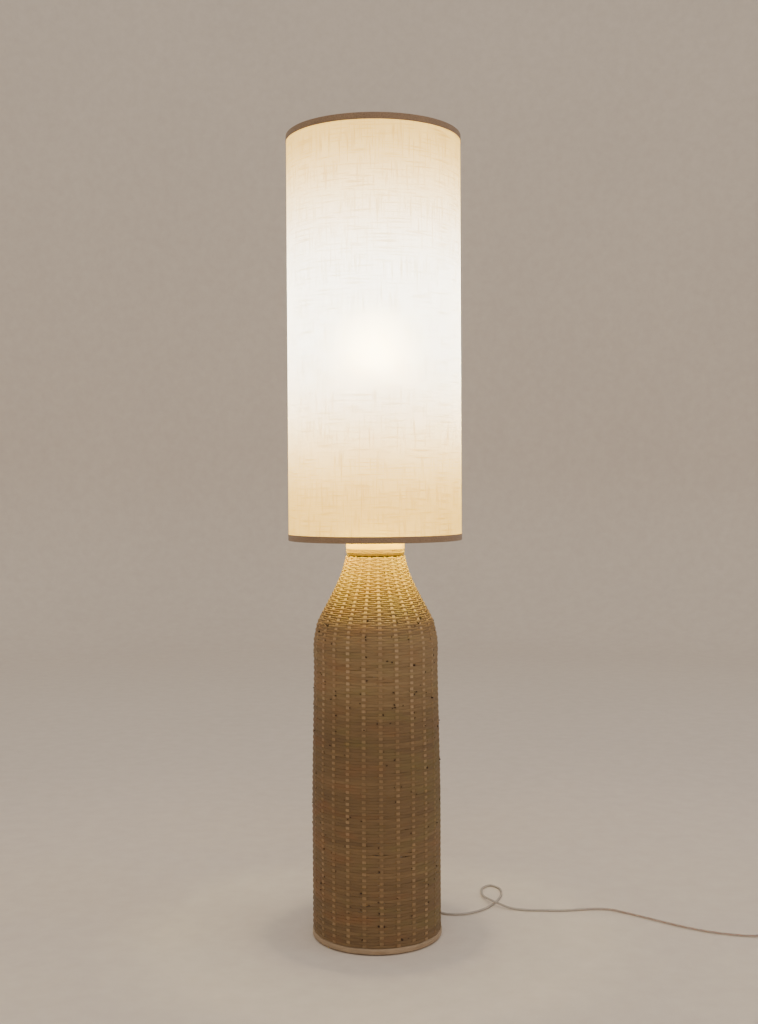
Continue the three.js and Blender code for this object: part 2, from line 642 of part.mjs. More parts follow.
function addShade() {
  const armAngles = Array.from({ length: SPIDER.arms }, (_, i) => (
    SPIDER.phase + (i * 360) / SPIDER.arms));
  const notches = armAngles.map((angle) => spiderArm(SPIDER.armRadius + 2 * CLEARANCE, angle));
  add('shade_fabric', washer(shade.fabricInner, shade.fabricOuter, shade.clothLow,
    shade.clothHigh, SHADE_SIDES), FINISH.linen);
  add('shade_liner', washer(shade.linerInner, shade.linerOuter, shade.clothLow,
    shade.clothHigh, SHADE_SIDES), FINISH.liner);
  add('top_wire', wireRing(shade.clothHigh - SHADE_WIRE.radius), FINISH.steel);
  add('top_trim', trimTape(shade.high, -1), FINISH.tape);
  add('bottom_trim', cut(trimTape(shade.low, 1), ...notches), FINISH.tape);
  add('spider_frame', joined(
    washer(holder.ringBore, holder.ringBore + SPIDER.plateWidth, spiderPlate.low, spiderPlate.high),
    wireRing(shade.clothLow + SHADE_WIRE.radius),
    ...armAngles.map((angle) => spiderArm(SPIDER.armRadius, angle)),
  ), FINISH.steel);
}

// The cord: up the centre tube, out at the back, over the floor, through the switch to the plug

const grommet = { outside: above(WEAVE.bottomRadius) };
grommet.sleeveLow = grommet.outside + GROMMET.flangeThickness;
grommet.tip = grommet.sleeveLow + GROMMET.sleeve;
const insideWall = (WEAVE.bottomRadius - WEAVE.wall) * flatShare(BODY_SIDES);

function addGrommet() {
  const bore = CORD.radius + CLEARANCE;
  const neck = GROMMET.hole - CLEARANCE;
  const innerFlange = insideWall - 2 * CLEARANCE;
  const profile = turned([
    [bore, innerFlange - GROMMET.flangeThickness],
    [GROMMET.flange - GROMMET.flangeThickness / 2, innerFlange - GROMMET.flangeThickness],
    [GROMMET.flange - GROMMET.flangeThickness / 2, innerFlange], [neck, innerFlange],
    [neck, grommet.outside], [GROMMET.flange, grommet.outside],
    [GROMMET.flange, grommet.sleeveLow], [GROMMET.sleeveRadius, grommet.sleeveLow],
    [GROMMET.tipRadius, grommet.tip], [bore, grommet.tip],
    [bore, innerFlange - GROMMET.flangeThickness],
  ]);
  profile.rotateX(-Math.PI / 2).translate(0, 0, GROMMET.height);
  add('cord_grommet', profile, FINISH.whitePlastic);
}

/** A smooth curve through points given as [x, y, z]. */
function through(points) {
  return new THREE.CatmullRomCurve3(points.map((point) => new THREE.Vector3(...point)), false,
    'centripetal');
}

/** The cord inside the foot: in through the weight's slot, round a bend, and up the tube. */
function innerRoute() {
  const { height } = GROMMET;
  const bend = 4 * CORD.radius * 2;
  const floor = above(weight.low) + CORD.radius;
  const slopeShares = [[1, 0], [0.8, 0], [0.6, 0], [0.46, 0.35], [0.31, 0.85], [0.18, 1]];
  const slope = slopeShares.map(([out, down]) => (
    [0, out * (grommet.tip - bend) + bend, height + down * (floor - height)]));
  const diagonal = bend * (1 - Math.SQRT1_2);
  return [
    ...slope, [0, bend, floor], [0, diagonal, floor + diagonal], [0, 0, floor + bend],
    [0, 0, floor + 1.5 * bend], [0, 0, floor + 2 * bend], [0, 0, floor + 3 * bend],
    [0, 0, holderSeat / 2], [0, 0, core.low - CLEARANCE],
  ];
}

// The switch lies along the cord, with a tapered nose at each end

const switchMiddle = { x: SWITCH_PLACE.x + SWITCH.noseLength + SWITCH.length / 2, y: SWITCH_PLACE.y };
const switchEnd = switchMiddle.x + SWITCH.length / 2 + SWITCH.noseLength;
const coverLow = above(SWITCH.baseHeight);

/** A tapered nose that points along +X from where it leaves a housing. */
function nose(rootRadius, tipRadius, length) {
  return turned([
    [0, -CUT_OVERRUN], [rootRadius, -CUT_OVERRUN], [rootRadius, 0], [tipRadius, length], [0, length],
  ], SMALL_SIDES).rotateY(Math.PI / 2);
}

/** A post that is wide below and narrow above, such as a screw with its head at the bottom. */
function steppedPost(headRadius, low, shoulder, radius, high) {
  return turned([
    [0, low], [headRadius, low], [headRadius, shoulder], [radius, shoulder], [radius, high], [0, high],
  ], SMALL_SIDES);
}

/** Everything in the switch is made round its own middle and moved to its place on the floor. */
function inSwitch(geometry, x = 0) {
  return geometry.translate(switchMiddle.x + x, switchMiddle.y, 0);
}

function addSwitch() {
  const screwX = [-SWITCH_SCREW.spacing / 2, SWITCH_SCREW.spacing / 2];
  const shoulder = SWITCH_SCREW.sink + SWITCH_SCREW.headHeight;
  const top = shoulder + SWITCH_SCREW.length;
  const screwHole = (x) => steppedPost(SWITCH_SCREW.head + CLEARANCE, -CUT_OVERRUN,
    shoulder + CLEARANCE, SWITCH_SCREW.shank + CLEARANCE, top + CLEARANCE).translate(x, 0, 0);

  const endX = SWITCH.length / 2;
  const rightNose = nose(SWITCH.noseRadius, SWITCH.noseTip, SWITCH.noseLength)
    .translate(endX, 0, SWITCH.noseHeight);
  const leftNose = nose(SWITCH.noseRadius, SWITCH.noseTip, SWITCH.noseLength)
    .rotateZ(Math.PI).translate(-endX, 0, SWITCH.noseHeight);
  const base = joined(roundedBlock(SWITCH.length, SWITCH.width, 0, SWITCH.baseHeight,
    SWITCH.corner, SWITCH.bevel), rightNose, leftNose);
  add('switch_base', inSwitch(cut(base, ...screwX.map(screwHole))), FINISH.whitePlastic);

  const halfWindow = Math.hypot(ROCKER.length / 2, ROCKER.edge) + CLEARANCE;
  const window = new THREE.BoxGeometry(2 * halfWindow, ROCKER.width + 2 * CLEARANCE,
    2 * SWITCH.coverHeight + CUT_OVERRUN);
  window.translate(0, 0, coverLow + SWITCH.coverHeight);
  const pinHole = new THREE.CylinderGeometry(SWITCH_PIN.radius + CLEARANCE,
    SWITCH_PIN.radius + CLEARANCE, SWITCH_PIN.length + 2 * CLEARANCE, SMALL_SIDES);
  pinHole.translate(0, 0, ROCKER.pivotHeight);
  const cover = roundedBlock(SWITCH.length, SWITCH.width, coverLow, coverLow + SWITCH.coverHeight,
    SWITCH.corner, SWITCH.bevel);
  add('switch_cover', inSwitch(cut(cover, window, pinHole, ...screwX.map(screwHole))),
    FINISH.whitePlastic);
  screwX.forEach((x, i) => {
    const screw = steppedPost(SWITCH_SCREW.head, SWITCH_SCREW.sink, shoulder, SWITCH_SCREW.shank, top);
    add(`switch_screw_${i + 1}`, inSwitch(screw, x), FINISH.steel);
  });

  const pin = new THREE.CylinderGeometry(SWITCH_PIN.radius, SWITCH_PIN.radius, SWITCH_PIN.length,
    SMALL_SIDES);
  add('switch_pin', inSwitch(pin.translate(0, 0, ROCKER.pivotHeight)), FINISH.steel);
  add('switch_rocker', inSwitch(rocker().translate(0, 0, ROCKER.pivotHeight)),
    FINISH.whitePlastic);
}

/** The rocker round its pin, pressed down on its +X side. */
function rocker() {
  const halfLength = ROCKER.length / 2;
  const side = new THREE.Shape([
    new THREE.Vector2(-halfLength, -ROCKER.depth), new THREE.Vector2(halfLength, -ROCKER.depth),
    new THREE.Vector2(halfLength, ROCKER.edge), new THREE.Vector2(0, ROCKER.rise),
    new THREE.Vector2(-halfLength, ROCKER.edge),
  ]);
  side.holes.push(new THREE.Path(polygon(SWITCH_PIN.radius + CLEARANCE, SMALL_SIDES)));
  const body = new THREE.ExtrudeGeometry(side, { depth: ROCKER.width, bevelEnabled: false });
  body.translate(0, 0, -ROCKER.width / 2).rotateX(Math.PI / 2);
  return body.rotateY(THREE.MathUtils.degToRad(ROCKER.tilt));
}

// The spare cord is wound in two layers and tied

const coilOuter = COIL.innerRadius + COIL.turnsPerLayer * COIL.pitch;
const coil = { x: COIL_PLACE.x, y: SWITCH_PLACE.y + coilOuter };
coil.z = TIE.thickness + CLEARANCE + CORD.radius;
coil.topZ = coil.z + COIL.layerRise;

/** The coil's radius and height where it has turned by so many turns. */
function coilAt(turns) {
  const layer = COIL.turnsPerLayer;
  const climb = THREE.MathUtils.clamp((turns - layer) / COIL.climbTurns, 0, 1);
  const fromMiddle = Math.abs(turns - layer - COIL.climbTurns / 2);
  const radius = COIL.innerRadius + (fromMiddle - COIL.climbTurns / 2) * COIL.pitch;
  return { radius, z: coil.z + climb * COIL.layerRise };
}

/** The points of the wound cord, with a straight end of one diameter at each side. */
function coilPoints() {
  const turns = 2 * COIL.turnsPerLayer + COIL.climbTurns;
  const steps = Math.round(turns * COIL.stepsPerTurn);
  const wound = Array.from({ length: steps + 1 }, (_, i) => {
    const turn = i / COIL.stepsPerTurn;
    const { radius, z } = coilAt(turn);
    const angle = -Math.PI / 2 + turn * 2 * Math.PI;
    return new THREE.Vector3(coil.x + radius * Math.cos(angle), coil.y + radius * Math.sin(angle), z);
  });
  const [first, last] = [wound[0], wound[steps]];
  const straight = 2 * CORD.radius;
  return [
    new THREE.Vector3(first.x - straight, first.y, first.z), ...wound,
    new THREE.Vector3(last.x - straight, last.y, last.z),
  ];
}

/** A tube of flat rings round the points of a line that lies nearly level. */
function woundTube(points, radius, sides) {
  const up = new THREE.Vector3(0, 0, 1);
  const vertices = [];
  points.forEach((point, i) => {
    const before = points[Math.max(i - 1, 0)];
    const after = points[Math.min(i + 1, points.length - 1)];
    const ahead = new THREE.Vector3().subVectors(after, before).normalize();
    const side = new THREE.Vector3().crossVectors(up, ahead).normalize();
    const lift = new THREE.Vector3().crossVectors(ahead, side);
    polygon(radius, sides, Math.PI / sides).forEach((corner) => {
      vertices.push(...point.clone().addScaledVector(side, corner.x).addScaledVector(lift, corner.y));
    });
  });
  const index = [];
  for (let i = 0; i + 1 < points.length; i += 1) {
    for (let j = 0; j < sides; j += 1) {
      const [a, b] = [i * sides + j, i * sides + ((j + 1) % sides)];
      index.push(a, b, a + sides, b, b + sides, a + sides);
    }
  }
  const lastRing = (points.length - 1) * sides;
  for (let j = 1; j + 1 < sides; j += 1) {
    index.push(0, j + 1, j, lastRing, lastRing + j, lastRing + j + 1);
  }
  const geometry = new THREE.BufferGeometry();
  geometry.setAttribute('position', new THREE.Float32BufferAttribute(vertices, 3));
  geometry.setIndex(index);
  return outward(geometry);
}

/** The least gap between two turns of a wound tube, measured at its points. */
function leastGap(points) {
  const apart = Math.round(COIL.stepsPerTurn / 3);
  let least = Infinity;
  for (let i = 0; i < points.length; i += 1) {
    for (let j = i + apart; j < points.length; j += 1) {
      least = Math.min(least, points[i].distanceTo(points[j]));
    }
  }
  return least - 2 * CORD.radius;
}

/** The tie: a flat band round the whole bundle of turns, on the coil's -X side. */
function tieBand() {
  const turn = COIL.turnsPerLayer + COIL.climbTurns + COIL.tieTurns;
  const nearest = coilAt(turn).radius;
  const farthest = coilAt(turn + COIL.turnsPerLayer - 1).radius;
  const inner = Math.sqrt(nearest ** 2 - (TIE.width / 2) ** 2) - CORD.radius - CLEARANCE;
  const outer = farthest + CORD.radius + CLEARANCE;
  const high = coil.topZ + CORD.radius + CLEARANCE;
  const band = new THREE.BoxGeometry(outer - inner + 2 * TIE.thickness, TIE.width,
    high + TIE.thickness);
  const opening = new THREE.BoxGeometry(outer - inner, TIE.width + CUT_OVERRUN,
    high - TIE.thickness);
  const middle = coil.x - (inner + outer) / 2;
  band.translate(middle, coil.y, (high + TIE.thickness) / 2);
  opening.translate(middle, coil.y, (high + TIE.thickness) / 2);
  return cut(band, opening);
}

// The plug lies beside the coil

const plug = { y: coil.y + coilOuter, z: PLUG.height / 2 };
plug.back = PLUG_PLACE.x + PLUG.length / 2;
plug.noseTip = plug.back + PLUG.noseLength;

function addPlug() {
  const pinY = [-PLUG.pinSpacing / 2, PLUG.pinSpacing / 2];
  const front = PLUG_PLACE.x - PLUG.length / 2;
  const pin = (y, radius, length) => {
    const shape = new THREE.CylinderGeometry(radius, radius, length, PLUG.pinSides);
    return shape.rotateZ(Math.PI / 2).translate(front + PLUG.seat - length / 2, plug.y + y, plug.z);
  };
  const body = roundedBlock(PLUG.length, PLUG.width, 0, PLUG.height, PLUG.corner, PLUG.bevel);
  body.translate(PLUG_PLACE.x, plug.y, 0);
  const back = nose(PLUG.noseRadius, PLUG.noseTip, PLUG.noseLength).translate(plug.back, plug.y, plug.z);
  const pinLength = PLUG.pinLength + PLUG.seat;
  add('plug_body', cut(joined(body, back), ...pinY.map((y) => (
    pin(y, PLUG.pinRadius + CLEARANCE, pinLength).translate(CLEARANCE, 0, 0)))), FINISH.whitePlastic);
  pinY.forEach((y, i) => add(`plug_pin_${i + 1}`, pin(y, PLUG.pinRadius, pinLength), FINISH.brass));
}

function addCords() {
  const { radius, sides } = CORD;
  add('inner_cord', tubeAlong(through(innerRoute()), radius, CORD.coilSides,
    CORD.innerSteps), FINISH.clearCord);
  const route = through([
    [0, above(grommet.tip), GROMMET.height], ...CORD_ROUTE,
    [SWITCH_PLACE.x - CLEARANCE, SWITCH_PLACE.y, SWITCH.noseHeight],
  ]);
  add('cord_free', tubeAlong(route, radius, sides, CORD.freeSteps), FINISH.clearCord);

  const wound = coilPoints();
  const [start, end] = [wound[0], wound[wound.length - 1]];
  add('cord_lead', tubeAlong(through([
    [above(switchEnd), SWITCH_PLACE.y, SWITCH.noseHeight],
    [(switchEnd + start.x) / 2, SWITCH_PLACE.y, (SWITCH.noseHeight + start.z) / 2],
    [start.x - CLEARANCE, SWITCH_PLACE.y, start.z],
  ]), radius, sides, CORD.leadSteps), FINISH.clearCord);
  add('cord_coil', woundTube(wound, radius, CORD.coilSides), FINISH.clearCord);
  console.log(`least gap between the coil's turns: ${leastGap(wound).toFixed(2)} mm`);
  add('coil_tie', tieBand(), FINISH.felt);
  add('cord_tail', tubeAlong(through([
    [end.x - CLEARANCE, end.y, end.z], [(end.x + plug.noseTip) / 2, end.y, (end.z + plug.z) / 2],
    [above(plug.noseTip), plug.y, plug.z],
  ]), radius, sides, CORD.leadSteps), FINISH.clearCord);
}

addFoot();
addTube();
addWeave();
addWireFrame();
addNeck();
addHolder();
addBulb();
addShade();
addGrommet();
addSwitch();
addPlug();
addCords();

export default lamp;
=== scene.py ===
"""Rattan floor lamp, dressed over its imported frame.

A bottle-shaped body woven of rattan peel carries a tall drum shade of linen, lit from inside by
one warm bulb. The cord leaves the foot at the back, lies in a narrow loop on the right, and runs
on to its switch, its coil and its plug. All lengths in the classes are in millimetres.
"""
import logging
import math
from dataclasses import dataclass, field
from enum import Enum
from random import Random
from typing import Mapping, Optional, Sequence, Union

import bmesh
import bpy
from mathutils import Matrix, Vector


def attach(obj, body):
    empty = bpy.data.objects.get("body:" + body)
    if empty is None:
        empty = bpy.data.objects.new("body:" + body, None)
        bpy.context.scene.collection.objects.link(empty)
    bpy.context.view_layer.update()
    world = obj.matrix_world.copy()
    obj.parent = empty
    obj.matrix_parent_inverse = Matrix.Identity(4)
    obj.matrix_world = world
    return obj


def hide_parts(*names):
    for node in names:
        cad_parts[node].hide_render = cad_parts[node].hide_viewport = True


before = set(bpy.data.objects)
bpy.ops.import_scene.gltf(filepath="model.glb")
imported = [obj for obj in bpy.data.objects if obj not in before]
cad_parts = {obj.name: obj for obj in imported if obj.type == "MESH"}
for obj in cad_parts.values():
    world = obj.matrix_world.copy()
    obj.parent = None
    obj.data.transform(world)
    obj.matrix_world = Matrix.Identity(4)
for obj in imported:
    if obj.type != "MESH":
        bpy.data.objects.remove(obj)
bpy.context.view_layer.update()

LOG = logging.getLogger("rattan_lamp")
MM = 0.001
# Nearly all of a noise's values lie between these two.
NOISE = (0.3, 0.7)
# Points and edges closer together than these are the same, in metres.
SAME_PLACE, SAME_LEVEL = 1e-6, 1e-7

Pair = tuple[float, float]
Point = tuple[float, float, float]
Point4 = tuple[float, float, float, float]
Profile = Sequence[Pair]
Key = Union[str, int]
Tree = bpy.types.NodeTree
Node = bpy.types.Node
Socket = bpy.types.NodeSocket
Piece = bpy.types.Object
Shape = bmesh.types.BMesh


class Body(Enum):
    """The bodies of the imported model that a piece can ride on."""

    BASE = "base"
    SHADE = "shade"
    CLAMP = "clamp"
    BULB = "bulb"
    ROCKER = "rocker"


def put(value: float, low: float = 0.0, high: float = 1.0) -> float:
    """Keeps a number between two others."""
    return min(max(value, low), high)


def between(pair: Pair, share: float) -> float:
    """Gives the number that lies a share of the way from a pair's first to its second."""
    return pair[0] + share * (pair[1] - pair[0])


# Colours and nodes


def linear(colour: str) -> Point4:
    """Turns an sRGB hex colour to the linear numbers that a shader takes.

    Args:
        colour: The colour as "#rrggbb".

    Returns:
        Red, green, blue and an alpha of 1.
    """
    parts = [int(colour[i:i + 2], 16) / 255 for i in (1, 3, 5)]
    red, green, blue = (
        part / 12.92 if part <= 0.04045 else ((part + 0.055) / 1.055) ** 2.4 for part in parts
    )
    return red, green, blue, 1.0


def fill(node: Node, inputs: Mapping[Key, object]) -> None:
    """Links or sets a node's inputs.

    Args:
        node: The node.
        inputs: By input name or number: a socket to link, a node whose first output in use is
            linked, or a value to set.
    """
    for key, value in inputs.items():
        if isinstance(value, Node):
            value = next(output for output in value.outputs if output.enabled)
        if isinstance(value, Socket):
            node.id_data.links.new(value, node.inputs[key])
        else:
            node.inputs[key].default_value = value


def add_node(
    tree: Tree, kind: str, inputs: Optional[Mapping[Key, object]] = None,
    stops: Sequence[tuple[float, str]] = (), **settings: object,
) -> Node:
    """Adds one node with its settings and links.

    Args:
        tree: The node tree that gets the node.
        kind: The node's type name, without "ShaderNode".
        inputs: What its inputs get, as fill() takes it.
        stops: The places and hex colours of a colour ramp.
        **settings: The node's own properties.

    Returns:
        The new node.
    """
    node = tree.nodes.new(f"ShaderNode{kind}")
    for name, value in settings.items():
        setattr(node, name, value)
    fill(node, inputs or {})
    if stops:
        elements = node.color_ramp.elements
        while len(elements) < len(stops):
            elements.new(0.5)
        for element, (place, colour) in zip(elements, stops):
            element.position, element.color = place, linear(colour)
    return node


def span(start: float, end: float, low: float = 0.0, high: float = 1.0) -> dict[str, float]:
    """Gives the inputs that map the values from start to end onto those from low to high."""
    return {"From Min": start, "From Max": end, "To Min": low, "To Max": high}


def grain_of(
    tree: Tree, place: Socket, sizes: Point, detail: float, roughness: float = 0.5,
) -> Node:
    """Adds a noise whose grains have a real size.

    Args:
        tree: The node tree.
        place: Coordinates, in metres.
        sizes: Size of one grain along x, y and z, in millimetres.
        detail: The noise's detail.
        roughness: The noise's roughness.

    Returns:
        The noise node.
    """
    scaled = add_node(tree, "Mapping", {
        "Vector": place, "Scale": tuple(1 / (size * MM) for size in sizes)})
    return add_node(tree, "TexNoise", {
        "Vector": scaled, "Scale": 1.0, "Detail": detail, "Roughness": roughness})


@dataclass(frozen=True)
class Finish:
    """One finish of the lamp. A subclass's dress() makes its nodes.

    Attributes:
        name: The material's name.
        slot: Name of the material slot that the finish belongs to; not used.
    """

    name: str
    slot: str = ""

    def material(self) -> bpy.types.Material:
        """Gives the finish's material, made the first time that it is asked for."""
        made = bpy.data.materials.get(self.name)
        if made is None:
            made = bpy.data.materials.new(self.name)
            made.use_nodes = True
            tree = made.node_tree
            place = add_node(tree, "TexCoord").outputs["Object"]
            self.dress(tree, tree.nodes["Principled BSDF"], place)
        return made

    def dress(self, tree: Tree, shader: Node, place: Socket) -> None:
        """Makes the finish's nodes.

        Args:
            tree: The material's node tree.
            shader: Its Principled shader.
            place: Object coordinates, in metres.
        """
        raise NotImplementedError


@dataclass(frozen=True)
class Grained(Finish):
    """A finish with one grain: a fine pattern of a real size, over broad light and dark patches.

    Attributes:
        dark: Colour of the grain's low places.
        light: Colour of its high places.
        grain: Size of one grain along x, y and z.
        roughness: Least and greatest roughness.
        relief: Depth of the grain.
        patch: Size of the broad patches.
        patch_share: How much the patches darken the colour, from 0 to 1.
        metallic: 1 for a metal.
        ior: Index of refraction.
        coat: Weight of a clear coat.
        sheen: Weight of the sheen of loose fibres.
    """

    dark: str = "#808080"
    light: str = "#a0a0a0"
    grain: Point = (1.0, 1.0, 1.0)
    roughness: Pair = (0.4, 0.6)
    relief: float = 0.05
    patch: float = 30.0
    patch_share: float = 0.2
    metallic: float = 0.0
    ior: float = 1.5
    coat: float = 0.0
    sheen: float = 0.0

    def dress(self, tree: Tree, shader: Node, place: Socket) -> None:
        """Makes the grain, the patches, the roughness and the relief."""
        grain = grain_of(tree, place, self.grain, 4.0, 0.6)
        broad = add_node(tree, "TexNoise", {
            "Vector": place, "Scale": 1 / (self.patch * MM), "Detail": 2.0})
        colour = add_node(
            tree, "ValToRGB", {"Fac": grain}, tuple(zip(NOISE, (self.dark, self.light))))
        worn = add_node(tree, "MapRange", {
            "Value": broad, **span(*NOISE, 1 - self.patch_share, 1.0)})
        fill(shader, {
            "Base Color": add_node(
                tree, "Mix", {0: 1.0, 6: colour, 7: worn}, data_type="RGBA",
                blend_type="MULTIPLY"),
            "Roughness": add_node(
                tree, "MapRange", {"Value": grain, **span(*NOISE, *self.roughness)}),
            "Normal": add_node(tree, "Bump", {
                "Height": grain, "Distance": self.relief * MM, "Strength": 1.0}),
            "Metallic": self.metallic, "Coat Weight": self.coat, "Sheen Weight": self.sheen})
        if not self.metallic:
            fill(shader, {"IOR": self.ior})


@dataclass(frozen=True)
class WovenRattan(Finish):
    """Flat and half-round rattan peel, split, woven wet and left unvarnished.

    Each strip has its own tone, fine fibres run along it, and some runs are redder or greener.
    A tone attribute of each row's vertices carries the strip's own tone, and painted light: the
    lamplight on the top of the straight body, and a highlight halfway up the shoulder's stakes.

    Attributes:
        deep: Colour of the darkest strips.
        middle: Colour of most strips.
        pale: Colour of the palest strips.
        tones: The tones that have these three colours.
        fibre: Size of one fibre along x, y and z; a strip lies across z, a stake along it.
        run: Size of one run of a tint, a few rows high.
        tints: Colour of the redder and of the greener runs. For each: the noise that starts
            such a run, the noise where its tint is full, and the full tint's share.
        relief: Depth of the fibres.
        streaks: How strongly the fibres vary the colour, from 0 to 1.
        leaning: How much redder the strips get towards -X and greener towards +X.
        roughness: Least and greatest roughness.
    """

    deep: str = "#5b4833"
    middle: str = "#7d6647"
    pale: str = "#a58e67"
    tones: Point = (0.28, 0.62, 0.98)
    fibre: Point = (14.0, 14.0, 0.55)
    run: Point = (1000 / 11, 1000 / 11, 1000 / 34)
    tints: Sequence[tuple[str, float, float, float]] = (
        ("#9a5c38", 0.56, 0.74, 0.2), ("#77743f", 0.45, 0.29, 0.24))
    relief: float = 0.1
    streaks: float = 0.42
    leaning: float = -0.9
    roughness: Pair = (0.52, 0.72)

    def dress(self, tree: Tree, shader: Node, place: Socket) -> None:
        """Makes the strips' tones, the fibres and the tinted runs."""
        fibres = grain_of(tree, place, self.fibre, 5.0, 0.62)
        tone = add_node(tree, "Attribute", attribute_name="tone").outputs["Fac"]
        mixed = add_node(
            tree, "Math", {0: fibres, 1: self.streaks, 2: tone}, operation="MULTIPLY_ADD")
        colour = add_node(tree, "ValToRGB", {"Fac": mixed}, tuple(
            zip(self.tones, (self.deep, self.middle, self.pale))))
        across = add_node(tree, "SeparateXYZ", {0: place}).outputs["X"]
        runs = add_node(tree, "Math", {
            0: across, 1: self.leaning, 2: grain_of(tree, place, self.run, 2.0)},
            operation="MULTIPLY_ADD")
        for tint, start, full, most in self.tints:
            share = add_node(tree, "MapRange", {"Value": runs, **span(start, full, 0.0, most)})
            colour = add_node(
                tree, "Mix", {0: share, 6: colour, 7: linear(tint)}, data_type="RGBA")
        fill(shader, {
            "Base Color": colour, "IOR": 1.48,
            "Roughness": add_node(
                tree, "MapRange", {"Value": fibres, **span(*NOISE, *self.roughness)}),
            "Normal": add_node(tree, "Bump", {
                "Height": fibres, "Distance": self.relief * MM, "Strength": 1.0})})


@dataclass(frozen=True)
class LinenCloth(Finish):
    """Undyed linen, plain weave, laminated to a clear liner and lit from behind.

    Its threads show as a fine cross weave with thicker slubs both ways, and the light behind it
    shines through, strongest round the bulb. A painted glow and a painted warm tint by height,
    whitest round the bulb, add to that light.

    Attributes:
        thread: Colour of the threads.
        shadowed: Colour of the thicker threads.
        glow: Colour of the painted tint on the light that the cloth lets through and gives off,
            near the bulb.
        glow_far: Colour of that painted tint at the drum's ends.
        straight: Tint of the light that goes nearly straight through, which stays white.
        bulb_z: Height that the painted glow and the white of the painted tint are centred on.
        reach: How far from there the painted tint starts to turn warm, and where it has.
        spacing: Distance between threads; real linen has 0.6, drawn coarse enough to show.
        slub: Length and height of a thick place.
        thick: The noise where a thick place starts, and where it is full.
        cross: How much the cross weave darkens the cloth, beside a thick place's 1.
        darkest: Where the darkening has its full colour.
        through: Share of the light that goes through and spreads evenly.
        forward: Share that goes through and keeps its direction roughly.
        painted_glow: Strength of the painted glow, an emission standing for light that wanders
        inside the laminate, at the drum's ends, and how much more it is at the bulb.
    """

    thread: str = "#efe5cf"
    shadowed: str = "#d2c099"
    glow: str = "#e4ecff"
    glow_far: str = "#ffd96e"
    straight: str = "#e2ecff"
    bulb_z: float = 1058.0
    reach: Pair = (40.0, 330.0)
    spacing: float = 3.4
    slub: Pair = (52.0, 2.8)
    thick: Pair = (0.5, 0.72)
    cross: float = 0.35
    darkest: float = 0.9
    through: float = 0.66
    forward: float = 0.6
    painted_glow: Pair = (2.05, 4.6)

    def dress(self, tree: Tree, shader: Node, place: Socket) -> None:
        """Makes the cross weave, the slubs and the light that passes through."""
        around = add_node(tree, "UVMap", uv_map="cloth").outputs[0]
        # At scale 1, the bands of a wave texture lie tau / 20 apart.
        threads = [
            add_node(tree, "TexWave", {
                "Vector": around, "Scale": math.tau / 20 / (self.spacing * MM),
                "Distortion": 1.6, "Detail": 2.0, "Detail Scale": 0.6},
                bands_direction=bands).outputs["Fac"] for bands in "XY"]
        weave = add_node(tree, "Math", dict(enumerate(threads)), operation="MULTIPLY")
        slubs = [
            grain_of(tree, around, (*sizes, 1 / MM), 3.0)
            for sizes in (self.slub, self.slub[::-1])]
        thick = add_node(tree, "Math", dict(enumerate(slubs)), operation="MAXIMUM")
        dense = add_node(tree, "MapRange", {"Value": thick, **span(*self.thick)})
        cover = add_node(
            tree, "Math", {0: weave, 1: self.cross, 2: dense}, operation="MULTIPLY_ADD")
        colour = add_node(tree, "ValToRGB", {"Fac": cover}, (
            (0.0, self.thread), (self.darkest, self.shadowed)))
        # Painted light tint by height: warmer away from the bulb, for light that has bounced up
        # or down the drum, whiter for light straight off the bulb.
        height = add_node(tree, "SeparateXYZ", {0: place}).outputs["Z"]
        off = add_node(tree, "Math", {0: height, 1: self.bulb_z * MM}, operation="SUBTRACT")
        away = add_node(tree, "Math", {0: off}, operation="ABSOLUTE")
        start, end = self.reach
        near = add_node(tree, "MapRange", {
            "Value": away, **span(start * MM, end * MM, 1.0, 0.0)},
            interpolation_type="SMOOTHSTEP")
        painted_tint = add_node(tree, "Mix", {
            0: near, 6: linear(self.glow_far), 7: linear(self.glow)}, data_type="RGBA")
        lit, white = (
            add_node(tree, "Mix", {0: 1.0, 6: colour, 7: tint}, data_type="RGBA",
                     blend_type="MULTIPLY") for tint in (painted_tint, linear(self.straight)))
        fill(shader, {
            "Base Color": colour, "Roughness": 0.85, "Sheen Weight": 0.15,
            "Normal": add_node(tree, "Bump", {
                "Height": add_node(tree, "Math", {0: weave, 1: dense}),
                "Distance": 0.12 * MM, "Strength": 0.7})})
        spread = add_node(tree, "BsdfTranslucent", {"Color": lit})
        ahead = add_node(tree, "BsdfRefraction", {"Color": white, "Roughness": 1.0, "IOR": 1.42})
        half = add_node(tree, "MixShader", {0: self.through, 1: shader, 2: spread})
        whole = add_node(tree, "MixShader", {0: self.forward, 1: half, 2: ahead})
        # Painted glow: emission standing for light that wanders inside the laminate, strongest
        # round the bulb and fainter where the threads are thick.
        strength = add_node(
            tree, "Math", {0: near, 1: self.painted_glow[1], 2: self.painted_glow[0]},
            operation="MULTIPLY_ADD")
        painted_glow = add_node(tree, "Emission", {"Color": lit, "Strength": strength})
        fill(tree.nodes["Material Output"], {
            "Surface": add_node(tree, "AddShader", {0: whole, 1: painted_glow})})


